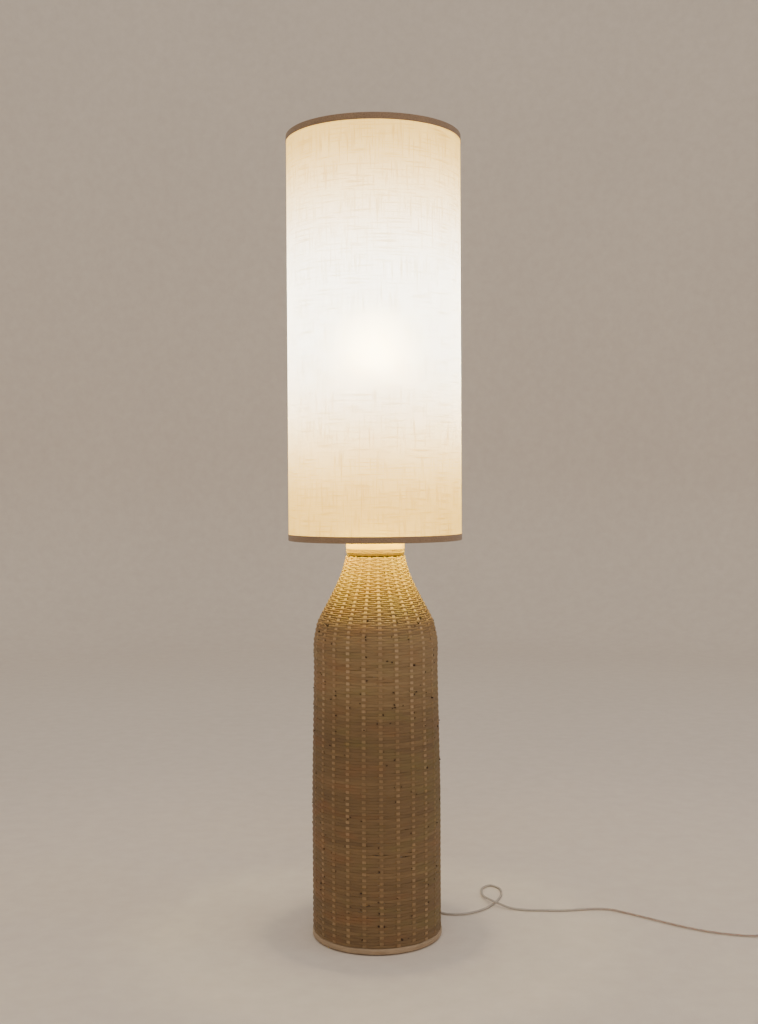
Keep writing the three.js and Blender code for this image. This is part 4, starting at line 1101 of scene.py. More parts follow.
@dataclass
class WovenBody:
    """The bottle-shaped body: upright stakes, and strips woven over and under them in rows.

    Attributes:
        bottom_radius: Outer radius at the foot.
        top_radius: Outer radius at the shoulder.
        neck_radius: Outer radius under the collar.
        foot_z: Height of the weave's lower edge.
        shoulder_z: Height where the body turns in.
        neck_z: Height of the weave's upper edge.
        body_shares: The body's outline, as shares of its height and of its taper.
        shoulder_shares: The shoulder's, as shares of its height and of its step.
        stakes: Number of stakes.
        phase: Angle of one stake, in degrees from -Y towards +X.
        steps_per_stake: Faces of a row from one stake to the next.
        stake_width: Width of a stake at the foot and at the neck.
        body_pitch: Height of a row on the body.
        shoulder_pitch: Height of a row just above the shoulder and at the neck.
        swing: How far a strip swings out and in at a stake, on the body and at the neck.
        bulge: Widest stretch over which it does so.
        strip_thickness: Thickness of a strip on the body and at the neck.
        strip_crown: How far down its thickness a strip's edges lie, the same.
        strip_width: Width of a strip, as a share of the row's height.
        tone: A strip's middle tone, and how far strips and the stretches of one differ from it.
        gaps: Places where two rows stand apart: height, degrees, half width in degrees, and mm.
        painted_lamplight: How much paler the top of the straight body is painted, as painted
            light where the lamp's light falls.
        painted_lamplight_z: Where that starts, where it is full, where it starts to end and
            where it ends.
        scars: Number of cut ends and leaf scars.
        scar_scale: What their drawn sizes are multiplied by, so that they show.
        seed: Seed of every irregularity.
        rows: Filled by lay_rows().
    """

    bottom_radius: float = 111.1
    top_radius: float = 107.2
    neck_radius: float = 50.8
    foot_z: float = 11.6
    shoulder_z: float = 511.0
    neck_z: float = 657.0
    body_shares: Profile = ((0, 1), (0.24, 1), (0.48, 1), (0.69, 0.51), (0.9, 0))
    shoulder_shares: Profile = (
        (0.0, 1.0), (0.115, 0.949), (0.216, 0.887), (0.324, 0.755), (0.432, 0.603),
        (0.642, 0.321), (0.818, 0.128), (1, 0))
    stakes: int = 24
    phase: float = 4.0
    steps_per_stake: int = 8
    stake_width: Pair = (6.6, 4.2)
    body_pitch: float = 5.0
    shoulder_pitch: Pair = (4.3, 3.0)
    swing: Pair = (1.0, 0.85)
    bulge: float = 16.5
    strip_thickness: Pair = (1.0, 1.5)
    strip_crown: Pair = (0.24, 0.54)
    strip_width: float = 0.965
    tone: Point = (0.335, 0.03, 0.025)
    gaps: Sequence[Point4] = (
        (166, -87, 7, 1.6), (161, -66, 6, 1.3), (168, -60, 6, 1.1), (153, -72, 4, 1.0),
        (180, -100, 4, 0.9), (96, -103, 5, 1.0), (84, -100, 5, 1.1), (72, -104, 4, 0.9),
        (205, -64, 4, 0.9), (300, -70, 5, 0.8), (452, -80, 6, 1.2), (470, -108, 6, 1.0),
        (461, -94, 5, 0.9), (330, 40, 6, 1.2), (250, 120, 7, 1.3), (140, 165, 6, 1.0),
        (420, 80, 6, 1.0), (60, 20, 6, 1.0), (380, -150, 6, 1.1), (200, -170, 5, 1.0),
    )
    painted_lamplight: float = 0.19
    painted_lamplight_z: Point4 = (365.0, 445.0, 525.0, 570.0)
    scars: int = 420
    scar_scale: float = 1.95
    seed: int = 41
    rows: list[tuple[float, float, float, float, float]] = field(default_factory=list)

    def __post_init__(self) -> None:
        """Works out the smooth outline and the rows on it."""
        corners = [
            (between((low, high), out), 0.0, between(ends, up))
            for low, high, ends, shares in (
                (self.top_radius, self.bottom_radius, (self.foot_z, self.shoulder_z),
                 self.body_shares),
                (self.neck_radius, self.top_radius, (self.shoulder_z, self.neck_z),
                 self.shoulder_shares))
            for up, out in shares]
        self.outline = [point / MM for point in smooth_line(corners, 1.0)]
        self.random = Random(self.seed)
        self.lay_rows()

    def shoulder_share(self, z: float) -> float:
        """Gives how far up the shoulder a height is, from 0 to 1."""
        return put((z - self.shoulder_z) / (self.neck_z - self.shoulder_z))

    def lay_rows(self) -> None:
        """Fills rows with (radius, z, lean, pitch, neck share) from the foot to the neck."""
        travelled, due = 0.0, self.body_pitch / 2
        for here, ahead in zip(self.outline, self.outline[1:]):
            gap = ahead - here
            while travelled + gap.length >= due:
                place = here + gap * ((due - travelled) / gap.length)
                neck = put((place.z - self.shoulder_z + 12) / 60)
                narrow = between(self.shoulder_pitch, self.shoulder_share(place.z))
                pitch = between((self.body_pitch, narrow), put(neck * 3))
                if place.z < self.neck_z - pitch * 0.4:
                    self.rows.append((place.x, place.z, math.atan2(-gap.x, gap.z), pitch, neck))
                due += pitch
            travelled += gap.length

    def opening(self, z: float, degrees: float) -> float:
        """Gives how far the gaps lift a row above them, at a height and an angle.

        Args:
            z: The row's height.
            degrees: The angle round the body.

        Returns:
            The lift in millimetres, negative below a gap.
        """
        lift = 0.0
        for gap_z, gap_angle, half_width, wide in self.gaps:
            off = (degrees - gap_angle + 180) % 360 - 180
            if abs(z - gap_z) <= 12 and abs(off) < 3 * half_width:
                fall = math.exp(-(off / half_width) ** 2 - (abs(z - gap_z) / 9) ** 2)
                lift += math.copysign(wide / 2 * fall, z - gap_z)
        return lift

    def painted_lamplight_at(self, z: float) -> float:
        """Gives the painted lamplight at a height, on the top of the straight body."""
        start, full, ending, end = self.painted_lamplight_z
        return self.painted_lamplight * put((z - start) / (full - start)) * put((end - z) / (end - ending))

    def strips(self, shape: Shape, first: int, last: int) -> list[tuple[Vector, ...]]:
        """Turns the sections of the rows from first up to last into round, flat strips.

        Args:
            shape: The bmesh that gets them, with a row layer that says each point's row.
            first: Number of the lowest row.
            last: Number of the row above the highest.

        Returns:
            By row, the section's middle and the ways that are up and out on it.
        """
        row_of = shape.verts.layers.int["row"]
        places = []
        for number in range(first, last):
            radius, z, lean, pitch, neck = self.rows[number]
            up = Vector((-math.sin(lean), 0, math.cos(lean)))
            out = Vector((math.cos(lean), 0, math.sin(lean)))
            thick = between(self.strip_thickness, neck)
            crown = between(self.strip_crown, neck)
            middle = Vector((radius - 0.5, 0, z))
            corners = []
            # The back edges run under the neighbours' backs, so that no light comes through.
            for across, deep in ((-0.54, 1.0), (-0.48, crown), (0.0, 0.0), (0.48, crown),
                                 (0.54, 1.0)):
                corner = shape.verts.new(
                    (middle + up * across * (pitch * self.strip_width)
                     - out * deep * thick) * MM)
                corner[row_of] = number
                corners.append(corner)
            for pair in zip(corners, corners[1:] + corners[:1]):
                shape.edges.new(pair)
            places.append((middle, up, out))
        spun(shape, self.stakes * self.steps_per_stake)
        bmesh.ops.recalc_face_normals(shape, faces=shape.faces)
        return places

    def band(self, name: str, first: int, last: int, nodes: Sequence[str] = ()) -> None:
        """Weaves the rows from first up to last as one piece.

        Args:
            name: The piece's name.
            first: Number of the lowest row.
            last: Number of the row above the highest.
            nodes: The CAD nodes that the piece stands for.
        """
        shape = bmesh.new()
        row_of = shape.verts.layers.int.new("row")
        tone_of = shape.verts.layers.float.new("tone")
        places = self.strips(shape, first, last)
        own = [[self.random.gauss(0, 1) for _ in range(8)] for _ in range(first, last)]
        for vert in shape.verts:
            number = vert[row_of]
            _, z, _, _, neck = self.rows[number]
            middle, up, out = places[number - first]
            random = own[number - first]
            place = vert.co / MM
            angle = math.atan2(place.y, place.x)
            stake = round(angle / math.tau * self.stakes)
            off = (angle - stake * math.tau / self.stakes) * middle.x
            window = min(math.tau * middle.x / self.stakes, self.bulge)
            near = max(0.0, math.cos(math.pi * off / window)) if abs(off) < window / 2 else 0.0
            side = 1 if (number + stake) % 2 == 0 else -1
            flat = Vector((math.hypot(place.x, place.y), 0, place.z))
            along = (flat - middle).dot(up)
            wander = 0.1 * random[0] * math.sin(angle + random[1]) \
                + 0.08 * random[2] * math.sin(3 * angle + random[3])
            degrees = math.degrees(angle) - 90 + self.phase
            lift = self.opening(z, degrees) + wander * (1 - 0.4 * neck)
            flat += out * side * between(self.swing, neck) * near
            flat += up * (along * 0.24 * side * near * neck + lift)
            vert.co = Vector((
                flat.x * math.cos(angle), flat.x * math.sin(angle), flat.z)) * MM
            # A strip's own tone, with the painted lamplight added on the top of the straight
            # body.
            usual, strips, stretches = self.tone
            vert[tone_of] = usual + strips * random[4] \
                + strips * random[5] * math.sin(2 * angle + 3 * random[6]) \
                + stretches * math.sin(11 * angle + 5 * random[7]) + self.painted_lamplight_at(z)
        self.aligned(shape)
        finished(shape, name, RATTAN, nodes)

    def aligned(self, shape: Shape) -> None:
        """Turns a shape from +X to where the first stake stands."""
        turn = Matrix.Rotation(math.radians(self.phase - 90), 3, "Z")
        bmesh.ops.rotate(shape, cent=(0, 0, 0), matrix=turn, verts=shape.verts)

    def stake_ring(self, way: Sequence[Vector], index: int) -> list[Vector]:
        """Gives the corners of a stake's section at one point of its way, in metres."""
        place = way[index]
        ahead = way[min(index + 1, len(way) - 1)] - way[max(index - 1, 0)]
        out = Vector((ahead.z, 0, -ahead.x)).normalized()
        width = between(self.stake_width, self.shoulder_share(place.z))
        return [
            (place + Vector((0, across * width, 0)) + out * (deep - 0.62)) * MM
            for across, deep in (
                (-0.5, -0.9), (-0.46, -0.1), (0.0, 0.12), (0.46, -0.1), (0.5, -0.9))]

    def stake_set(self) -> None:
        """Sets the stakes: flat strips up the outline, narrower towards the neck."""
        shape = bmesh.new()
        tone_of = shape.verts.layers.float.new("tone")
        way = self.outline[::9] + [self.outline[-1]]
        corners = [shape.verts.new(corner) for corner in self.stake_ring(way, 0)]
        shape.faces.new(corners[::-1])
        edges = [shape.edges.get(pair) for pair in zip(corners, corners[1:] + corners[:1])]
        for index in range(1, len(way)):
            grown = bmesh.ops.extrude_edge_only(shape, edges=edges)["geom"]
            edges = [item for item in grown if isinstance(item, bmesh.types.BMEdge)]
            # The extruded corners come in the order of their edges, so each is matched by place.
            before = self.stake_ring(way, index - 1)
            after = self.stake_ring(way, index)
            for vert in grown:
                if isinstance(vert, bmesh.types.BMVert):
                    nearest = min(range(5), key=lambda i: (vert.co - before[i]).length)
                    vert.co = after[nearest]
        shape.faces.new(sorted(
            {vert for edge in edges for vert in edge.verts},
            key=lambda vert: math.atan2(vert.co.y, (vert.co - way[-1] * MM).x + 0.0005)))
        bmesh.ops.recalc_face_normals(shape, faces=shape.faces)
        bmesh.ops.spin(
            shape, geom=shape.verts[:] + shape.edges[:] + shape.faces[:], cent=(0, 0, 0),
            axis=(0, 0, 1), dvec=(0, 0, 0), angle=math.tau * (1 - 1 / self.stakes),
            steps=self.stakes - 1, use_merge=False, use_duplicate=True)
        tones = [self.random.gauss(0.34, 0.05) for _ in range(self.stakes)]
        for vert in shape.verts:
            angle = math.atan2(vert.co.y, vert.co.x)
            z = vert.co.z / MM
            height = z - self.shoulder_z
            stake = round(angle / math.tau * self.stakes) % self.stakes
            # The stakes are palest halfway up the shoulder, a painted highlight of the light
            # from above, and dark under the collar; they also take the painted lamplight.
            vert[tone_of] = tones[stake] + 0.3 * put(1 - abs(height - 62) / 40) \
                + 0.07 * math.sin(height / 41 + 2.1 * stake) \
                - 0.3 * put((height - 85) / 45) + self.painted_lamplight_at(z)
        self.aligned(shape)
        finished(shape, "rattan_stakes", STAKE)

    def scar_set(self) -> None:
        """Scatters cut strip ends and leaf scars, most of them beside a stake."""
        shape = bmesh.new()
        chance = Random(self.seed + 1)
        for count in range(self.scars):
            radius, z, _, pitch, _ = self.rows[chance.randrange(2, len(self.rows) - 30)]
            stake = chance.randrange(self.stakes)
            off = chance.choice((-1, 1)) * chance.uniform(3.6, 6.0) if chance.random() < 0.7 \
                else chance.uniform(-13, 13)
            angle = math.radians(self.phase - 90 + stake * 360 / self.stakes) + off / radius
            # One in four is a cut end, which is square; the others are round scars.
            cut_end = count % 4 == 0
            ranges, deep = (((0.9, 1.6), (1.0, 1.8), (0.7, 1.2)), 0.1) if cut_end else (
                ((0.4, 0.6), (1.3, 2.4), (0.8, 1.4)), 0.35)
            size = [chance.uniform(*ends) * MM * self.scar_scale for ends in ranges]
            made = bmesh.ops.create_cube(shape, size=1.0) if cut_end else \
                bmesh.ops.create_icosphere(shape, subdivisions=1, radius=0.5)
            turn = Matrix.Rotation(angle, 4, "Z") @ Matrix.Translation(
                Vector((radius - deep, 0, z + chance.uniform(-0.3, 0.3) * pitch)) * MM)
            tilt = Matrix.Rotation(chance.uniform(-0.5, 0.5), 4, "X")
            bmesh.ops.transform(
                shape, matrix=turn @ tilt @ Matrix.Diagonal((*size, 1.0)), verts=made["verts"])
        finished(shape, "leaf_scars", SCAR)

    def build(self) -> None:
        """Builds the stakes, the three bands of rows, and the scars."""
        below = sum(1 for row in self.rows if row[1] < self.shoulder_z)
        self.stake_set()
        self.band("weave_low", 0, below // 2, ["woven_skin"])
        self.band("weave_high", below // 2, below)
        self.band("weave_shoulder", below, len(self.rows))
        self.scar_set()


# The foot, the neck, the lampholder and the bulb


@dataclass
class Foot:
    """The foot: its cane ring, felt, board and weight, and the plate that holds the tube.

    Attributes:
        ring: Inner and outer radius, low and high of the cane ring.
        felt: The same of the felt.
    """

    ring: Point4 = (103.0, 112.0, 1.0, 11.0)
    felt: Point4 = (16.0, 98.0, 0.0, 3.0)

    def build(self) -> None:
        """Makes the ring and the felt, and finishes the rest."""
        round_part("foot_ring", box_profile(self.ring), CANE_IN_PAINTED_SHADE, 2.4, 160)
        round_part("felt_pad", box_profile(self.felt), FELT, 0.9, 120)
        repaint(BOARD, "base_plate")
        repaint(CONCRETE, "counterweight")
        repaint(ZINC, "tube_plate", *(
            f"{kind}_screw_{number}" for kind in ("base", "plate") for number in (1, 2, 3)))
        repaint(DARK_STEEL, "wire_frame")


@dataclass
class Neck:
    """The neck: its binding, fine woven rows, smooth collar and cap.

    Attributes:
        inner: Inner radius of the binding, the rows and the collar.
        radius: Outer radius of the collar.
        groove: Radius, low and high of the binding, which lies in a groove.
        rows: Heights between which the fine rows lie, and how many there are.
        row_depth: How deep the dip between two rows is.
        row_tone: The rows' tone.
        collar: Low and high of the smooth collar.
        cap: Bore, radius, low and high of the cap.
    """

    inner: float = 48.0
    radius: float = 50.4
    groove: Point = (49.6, 657.6, 661.6)
    rows: tuple[float, float, int] = (661.8, 668.4, 3)
    row_depth: float = 0.9
    row_tone: float = 0.36
    collar: Pair = (668.5, 684.2)
    cap: Point4 = (5.3, 49.5, 684.6, 688.6)

    def build(self) -> None:
        """Makes the binding, the rows, the collar and the cap."""
        round_part("neck_binding", box_profile((self.inner, *self.groove)), BINDING_AS_GROOVE_SHADE, 0.6, 160)
        self.fine_rows()
        round_part(
            "neck_collar", box_profile((self.inner, self.radius, *self.collar)), CANE, 0.8, 160)
        round_part("neck_cap", box_profile(self.cap), CANE, 0.8, 160)

    def fine_rows(self) -> None:
        """Makes the fine rows, which sway in and out over the neck's 24 stakes."""
        low, high, count = self.rows
        pitch = (high - low) / count
        outside = [
            (self.radius - self.row_depth * (1 - math.sin(math.pi * i / 6) ** 0.7),
             low + (row + i / 6) * pitch)
            for row in range(count) for i in range(6)]
        shape = turned([
            (self.inner, low), *outside, (self.radius - self.row_depth, high),
            (self.inner, high)], steps=240)
        tone = shape.verts.layers.float.new("tone")
        for vert in shape.verts:
            vert[tone] = self.row_tone
            if vert.co.xy.length > (self.radius - 1.2) * MM:
                angle = math.atan2(vert.co.y, vert.co.x)
                row = int((vert.co.z / MM - low) / pitch)
                sway = 1 + 0.004 * math.sin(24 * angle + math.pi * row)
                vert.co.x, vert.co.y = vert.co.x * sway, vert.co.y * sway
        finished(shape, "neck_rows", RATTAN)


@dataclass
class CentreTube:
    """The threaded tube up the middle, its nuts and washers, and the sleeve round it.

    Attributes:
        bore: Inner radius of the tube.
        radius: Its outer radius.
        low: Its lower end.
        high: Its upper end.
        threads: How far the thread runs at the lower and the upper end.
        thread: Pitch and depth of the thread.
        washer: Bore, radius, low and high of the washer on the neck's cap.
        sleeve: The same of the sleeve.
    """

    bore: float = 3.8
    radius: float = 5.0
    low: float = 34.9
    high: float = 902.0
    threads: Pair = (24.0, 26.0)
    thread: Pair = (1.5, 0.5)
    washer: Point4 = (5.3, 11.0, 688.9, 690.4)
    sleeve: Point4 = (6.0, 8.0, 696.0, 889.7)

    def build(self) -> None:
        """Makes the tube with its two threads, the nuts, the washers and the sleeve."""
        first, last = self.threads
        lower, upper = (
            threaded(self.radius, self.bore, *ends, *self.thread)
            for ends in ((self.low, self.low + first), (self.high - last, self.high)))
        round_part("threaded_tube", [*lower[:-1], *upper[1:]], ZINC, steps=32)
        round_part("neck_washer", box_profile(self.washer), ZINC, 0.3)
        round_part("stem_sleeve", box_profile(self.sleeve), BRASS, 0.4, 64)
        softened(ZINC, {"neck_nut": 0.45, "upper_nut": 0.45, "lower_nut": 0.45})
        repaint(ZINC, "upper_washer")


@dataclass
class Lampholder:
    """The lampholder with its screw shell and contact, and the ring that clamps the shade.

    Attributes:
        bore: Radius of the cap's hole.
        radius: Outer radius of the cap and the shell.
        wall: Their thickness.
        cap: Low and high of the cap.
        shell: Low and high of the shell.
        flange: Radius and top of the shell's flange.
        core: Radius, low and high of the porcelain core.
        socket: Outer and inner radius, low and high of the screw shell.
        contact: Radius, low and high of the centre contact.
        ring: Inner and outer radius, low and high of the clamp ring.
        grips: Number of grips round the clamp ring.
        grip_depth: Their depth.
    """

    bore: float = 5.3
    radius: float = 19.4
    wall: float = 2.0
    cap: Pair = (890.0, 910.0)
    shell: Pair = (910.3, 948.3)
    flange: Pair = (22.0, 913.3)
    core: Point = (17.1, 905.0, 915.0)
    socket: Point4 = (14.3, 13.5, 915.3, 937.3)
    contact: Point = (3.0, 915.3, 917.3)
    ring: Point4 = (20.0, 26.0, 915.9, 922.9)
    grips: int = 14
    grip_depth: float = 0.8

    def build(self) -> None:
        """Makes the cap, the shell, the core, the contacts and the ring."""
        low, high = self.cap
        outside, inside = self.radius, self.radius - self.wall
        round_part("holder_cap", [
            (self.bore, low), (11.0, low), (15.6, low + 1.4), (18.2, low + 4.6),
            (outside, low + 9.0), (outside, high), (inside, high), (inside, low + 9.4),
            (16.4, low + 6.0), (14.2, low + 3.4), (10.6, low + 2.0), (self.bore, low + 2.0),
        ], PLASTIC, 0.5)
        low, high = self.shell
        wide, seat = self.flange
        thread = threaded(outside, inside, seat + 11.0, high - 1.5, 3.0, 0.5)
        round_part("holder_shell", [
            (inside, low), (wide, low), (wide, seat), (outside - 0.4, seat),
            (outside - 0.4, seat + 10.4), *thread[1:-1], (outside - 0.4, high), (inside, high),
        ], PLASTIC)
        round_part("holder_core", box_profile((0.0, *self.core)), PORCELAIN, 0.6)
        outer, inner, low, high = self.socket
        wall = threaded(outer, inner, low + 2.0, high, 3.6, 0.35)
        round_part("screw_shell", [
            (5.0, low), (outer - 0.3, low), *wall[1:], (inner, low + 0.8), (5.0, low + 0.8),
        ], BRASS)
        round_part("centre_contact", box_profile((0.0, *self.contact)), BRASS, 0.6, 32)
        self.clamp_ring()

    def clamp_ring(self) -> None:
        """Makes the clamp ring with its grips."""
        shape = turned(box_profile(self.ring), steps=12 * self.grips)
        bevel(shape, rims_of(shape), 0.7)
        middle = (self.ring[0] + self.ring[1]) / 2 * MM
        for vert in shape.verts:
            if vert.co.xy.length > middle:
                angle = math.atan2(vert.co.y, vert.co.x)
                depth = self.grip_depth * (0.5 - 0.5 * math.cos(self.grips * angle)) ** 2
                share = 1 - depth * MM / vert.co.xy.length
                vert.co.x, vert.co.y = vert.co.x * share, vert.co.y * share
        finished(shape, "clamp_ring_dressed", PLASTIC, ["clamp_ring"], Body.CLAMP)


@dataclass
class Bulb:
    """The lit bulb: its tip, insulator and screw cap, and the opal globe with its neck.

    Attributes:
        tip: Radius, low and high of the tip.
        insulator: Radius, low and high of the black glass.
        cap: Outer and inner radius, low and high of the screw cap.
        globe_low: Height where the glass starts.
        middle: Height of the globe's middle.
        globe: The globe's radius.
        glass: Thickness of the glass.
        neck: The neck as shares of its height and of the way out to the globe.
        neck_angle: How far below its middle the globe starts, in degrees.
    """

    tip: Point = (4.0, 917.6, 918.8)
    insulator: Point = (9.0, 919.1, 921.6)
    cap: Point4 = (13.0, 12.0, 921.9, 945.9)
    globe_low: float = 946.2
    middle: float = 1000.2
    globe: float = 30.0
    glass: float = 1.0
    neck: Profile = ((0.0, 0.0), (0.25, 0.06), (0.5, 0.3), (0.75, 0.68))
    neck_angle: float = 35.0

    def build(self) -> None:
        """Makes the tip, the insulator, the cap and the globe."""
        for node, sizes, finish in (
                ("bulb_tip", self.tip, BRASS), ("bulb_insulator", self.insulator, VITRITE)):
            round_part(node, box_profile((0.0, *sizes)), finish, 0.4, 48, Body.BULB)
        outer, inner, low, high = self.cap
        round_part(
            "bulb_cap", threaded(outer, inner, low, high, 3.6, 0.5), ZINC, body=Body.BULB)
        start = math.radians(self.neck_angle)
        reach = self.globe * math.cos(start) - outer
        rise = self.middle - self.globe * math.sin(start) - self.globe_low
        knots = [(outer + out * reach, 0.0, self.globe_low + up * rise) for up, out in self.neck]
        knots += [
            (self.globe * math.cos(angle), 0.0, self.middle + self.globe * math.sin(angle))
            for angle in (-start + (math.pi / 2 + start) * i / 12 for i in range(13))]
        outside = [(point.x / MM, point.z / MM) for point in smooth_line(knots, 2.0)]
        top = outside[-1][1]
        outside[-1] = (0.0, top)
        inside = [(max(radius - self.glass, 0.0), z) for radius, z in outside[:-1]]
        round_part(
            "bulb_globe", [*outside, (0.0, top - self.glass), *reversed(inside)], OPAL,
            steps=96, body=Body.BULB)


@dataclass
class CordParts:
    """The cord's fittings: the grommet, the cord inside, the switch, the tie and the plug.

    Attributes:
        exit_z: Height where the cord leaves the foot.
        bore: Radius of the grommet's bore.
        flange: Radius of its two flanges.
        inside: Where its inner flange starts and ends, out from the lamp's axis.
        outside: Where its outer flange starts and ends.
        neck: Its radius between the two.
        sleeve: Radius of its tapered sleeve at the flange and at the tip.
        tip: Where the tip is.
        ribs: Number of ribs on the sleeve.
        rib: A rib's outline: how far along it and how deep.
        inner_radius: Radius of the cord inside.
        inner_route: The way of the cord inside, from the grommet's tip up the tube.
    """

    exit_z: float = 26.0
    bore: float = 2.3
    flange: Pair = (7.0, 8.0)
    inside: Pair = (105.3, 107.3)
    outside: Pair = (111.4, 113.4)
    neck: float = 5.2
    sleeve: Pair = (5.0, 3.2)
    tip: float = 137.4
    ribs: int = 7
    rib: Profile = ((0.0, 0.0), (0.55, 0.0), (0.65, 0.45), (0.9, 0.45))
    inner_radius: float = 2.0
    inner_route: Sequence[Point] = (
        (0, 137.4, 26), (0, 113.1, 26), (0, 88.8, 26), (0, 71.8, 21.8), (0, 53.6, 15.7),
        (0, 37.9, 13.9), (0, 16, 13.9), (0, 4.7, 18.6), (0, 0, 29.9), (0, 0, 37.9),
        (0, 0, 45.9), (0, 0, 61.9), (0, 0, 445), (0, 0, 904.7))

    def grommet(self) -> None:
        """Makes the grommet with its ribbed, tapered sleeve."""
        length = self.tip - self.outside[1] - 1.0
        ribs = []
        for number in range(self.ribs):
            for share, cut in self.rib:
                along = (number + share) / self.ribs
                ribs.append((
                    between(self.sleeve, along) - cut, self.outside[1] + 0.5 + along * length))
        profile = [
            (self.bore, self.inside[0]), (self.flange[0], self.inside[0]),
            (self.flange[0], self.inside[1]), (self.neck, self.inside[1]),
            (self.neck, self.outside[0]), (self.flange[1], self.outside[0]),
            (self.flange[1], self.outside[1]), (self.sleeve[0], self.outside[1]), *ribs,
            (self.sleeve[1], self.tip), (self.bore, self.tip)]
        turn = Matrix.Translation((0, 0, self.exit_z * MM)) @ Matrix.Rotation(
            -math.pi / 2, 4, "X")
        round_part("cord_grommet", profile, PLASTIC, steps=48, turn=turn)

    def build(self) -> None:
        """Makes the fittings and the cord inside the foot and the tube."""
        self.grommet()
        strand("inner_cord_dressed", smooth_line(self.inner_route, 3.0), self.inner_radius, PVC,
               ["inner_cord"])
        repaint(PLASTIC, "switch_base")
        softened(PLASTIC, {"switch_cover": 0.5})
        softened(PLASTIC, {"switch_rocker": 0.6}, Body.ROCKER)
        softened(PLASTIC, {"plug_body": 0.6})
        softened(HOOK_TAPE, {"coil_tie": 0.35})
        softened(BRASS, {"plug_pin_1": 0.7, "plug_pin_2": 0.7})
        repaint(ZINC, "switch_screw_1", "switch_screw_2", "switch_pin")


# The shade


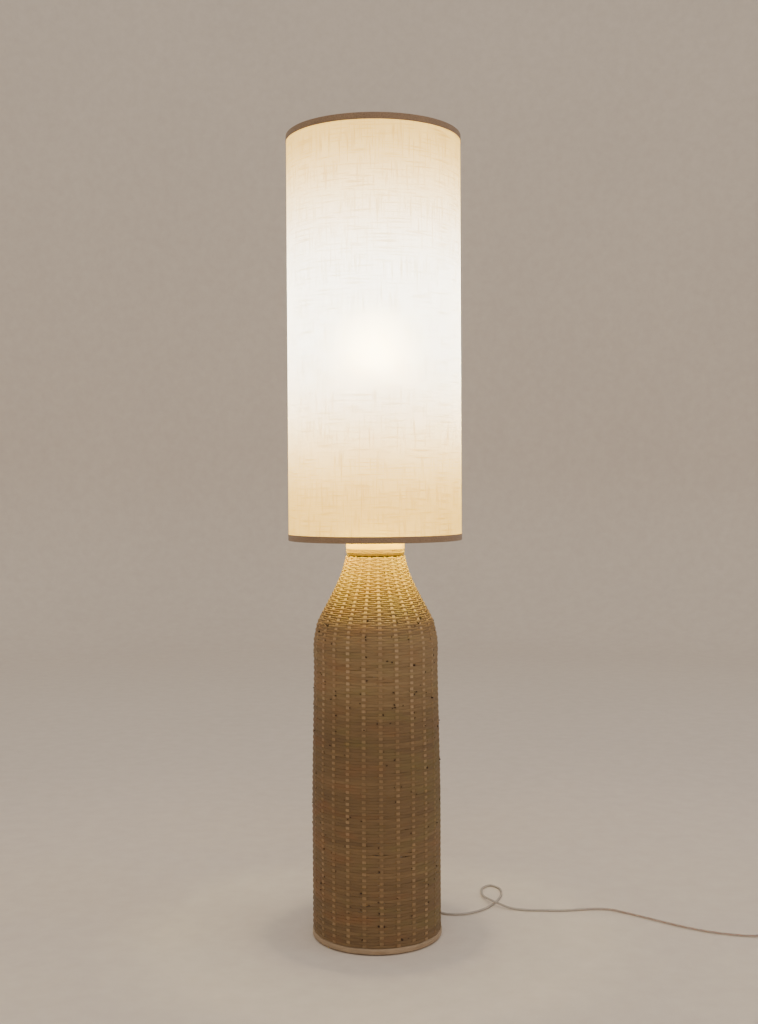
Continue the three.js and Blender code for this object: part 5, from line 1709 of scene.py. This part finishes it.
@dataclass
class Shade:
    """The drum shade: linen on a clear liner, wires, trims and the spider that carries it.

    Attributes:
        cloth: Radius of the linen, and heights of its lower and upper edge.
        cloth_rows: How many faces it has from one to the other.
        steps: How many faces go round.
        overlap: Width of the seam at the back.
        ends: Heights of the shade's lower and upper edge.
        liner: Inner and outer radius of the liner.
        ring: Radius of the wire rings, at the wire's middle.
        wire: Radius of their wire.
        trim: Outer and inner radius of the folded tape.
        tape: Thickness of the tape.
        arms: Number of the spider's arms.
        arm: Radius of an arm's wire, and how far out and how high it starts.
        plate: Inner and outer radius, low and high of the spider's plate.
    """

    cloth: Point = (149.0, 684.4, 1374.1)
    cloth_rows: int = 24
    steps: int = 180
    overlap: float = 12.0
    ends: Pair = (683.5, 1375.0)
    liner: Pair = (147.5, 148.1)
    ring: float = 145.7
    wire: float = 1.5
    trim: Pair = (150.0, 143.5)
    tape: float = 0.5
    arms: int = 3
    arm: Point = (1.4, 24.4, 914.6)
    plate: Point4 = (20.0, 24.9, 913.7, 915.5)

    def linen(self, name: str, width: float, lift: float = 0.0) -> Piece:
        """Makes a stretch of linen with its cloth coordinates, in metres.

        Args:
            name: The piece's name.
            width: How far it runs round the drum from the back, in degrees.
            lift: How far it lies outside the linen's radius.

        Returns:
            The piece, one surface thick.
        """
        radius, low, high = self.cloth
        radius += lift
        around, tall = math.radians(width) * radius * MM, (high - low) * MM
        shape = bmesh.new()
        bmesh.ops.create_grid(
            shape, x_segments=max(2, round(self.steps * width / 360)),
            y_segments=self.cloth_rows, size=0.5, calc_uvs=False)
        layer = shape.loops.layers.uv.new("cloth")
        for face in shape.faces:
            for loop in face.loops:
                x, y = loop.vert.co.xy
                loop[layer].uv = ((x + 0.5) * around, (y + 0.5) * tall)
        for vert in shape.verts:
            x, y = vert.co.xy
            angle = math.radians(90.0 + (x + 0.5) * width)
            ripple = 0.06 * math.sin(7 * angle + 3 * y) + 0.05 * math.sin(13 * angle - 5 * y)
            reach = (radius + ripple) * MM
            vert.co = (
                reach * math.cos(angle), reach * math.sin(angle), low * MM + (y + 0.5) * tall)
        if width == 360:
            bmesh.ops.remove_doubles(shape, verts=shape.verts, dist=SAME_PLACE)
        return finished(shape, name, LINEN, body=Body.SHADE)

    def build(self) -> None:
        """Makes the liner, the wires, the trims and the spider, then the linen and its seam."""
        radius, low, high = self.cloth
        finished(
            turned(box_profile((*self.liner, low, high)), steps=self.steps),
            "shade_liner_dressed", LINER, ["shade_liner"], Body.SHADE)
        finished(self.wire_ring(high - self.wire), "top_wire_dressed", ZINC, ["top_wire"],
                 Body.SHADE)
        self.folded("top_trim", self.ends[1], -1)
        self.folded("bottom_trim", self.ends[0], 1)
        self.spider()
        linen = self.linen("linen_drum", 360.0)
        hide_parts("shade_fabric")
        seam = self.linen("linen_seam", math.degrees(self.overlap / radius), 0.35)

    def wire_ring(self, z: float) -> Shape:
        """Makes a round wire ring at a height."""
        return turned([
            (self.ring + self.wire * math.cos(turn), z + self.wire * math.sin(turn))
            for turn in (i / 10 * math.tau for i in range(10))], steps=120)

    def folded(self, node: str, edge: float, up: int) -> None:
        """Folds the tape over one edge of the drum, a little crowned, as a closed wall.

        Args:
            node: The CAD node that it stands for.
            edge: Height of the edge.
            up: 1 at the lower edge and -1 at the upper.
        """
        (outer, inner), thick = self.trim, self.tape
        section = [
            (inner, 8.0), (inner, 0.6), (inner + 0.7, 0.0), (outer - 0.7, 0.0),
            (outer - 0.05, 0.7), (outer, 3.0), (outer, 8.0), (outer - 0.12, 10.4),
            (outer - 0.3, 11.0), (outer - thick, 11.0), (outer - thick, thick),
            (inner + thick, thick), (inner + thick, 8.0)]
        shape = turned(
            [(radius, edge + up * height) for radius, height in section], steps=self.steps)
        finished(shape, f"{node}_dressed", TAPE, [node], Body.SHADE)

    def spider(self) -> None:
        """Makes the spider: the lower wire, its arms and the plate on the holder."""
        foot = self.cloth[1]
        shape = self.wire_ring(foot + self.wire)
        radius, *near = self.arm
        start, end = Vector((near[0], 0, near[1])), Vector((self.ring - 0.3, 0, foot + 1.7))
        way = end - start
        for number in range(self.arms):
            made = bmesh.ops.create_cone(
                shape, cap_ends=True, segments=14, radius1=radius * MM, radius2=radius * MM,
                depth=way.length * MM)
            turn = math.radians(90 + number * 360 / self.arms)
            matrix = Matrix.Rotation(turn, 4, "Z") @ Matrix.Translation(
                (start + end) / 2 * MM) @ way.to_track_quat("Z", "Y").to_matrix().to_4x4()
            bmesh.ops.transform(shape, matrix=matrix, verts=made["verts"])
        plate = [shape.verts.new((out * MM, 0, z * MM)) for out, z in box_profile(self.plate)]
        edges = [shape.edges.new(pair) for pair in zip(plate, plate[1:] + plate[:1])]
        bmesh.ops.spin(
            shape, geom=plate + edges, cent=(0, 0, 0), axis=(0, 0, 1), dvec=(0, 0, 0),
            angle=math.tau, steps=72, use_merge=True, use_duplicate=False)
        bmesh.ops.recalc_face_normals(shape, faces=shape.faces)
        finished(shape, "spider_dressed", ZINC, ["spider_frame"], Body.SHADE)


def main() -> None:
    """Builds the lamp's dress, piece by piece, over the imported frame."""
    logging.basicConfig(level=logging.INFO, format="%(name)s: %(message)s")
    studio = Studio()
    studio.camera()
    for part in (CordParts(), Cord(), Shade(), WovenBody(), Foot(), Neck(), CentreTube(),
                 Lampholder(), Bulb()):
        part.build()
    studio.backdrop()
    studio.lights()


if __name__ == "__main__":
    main()
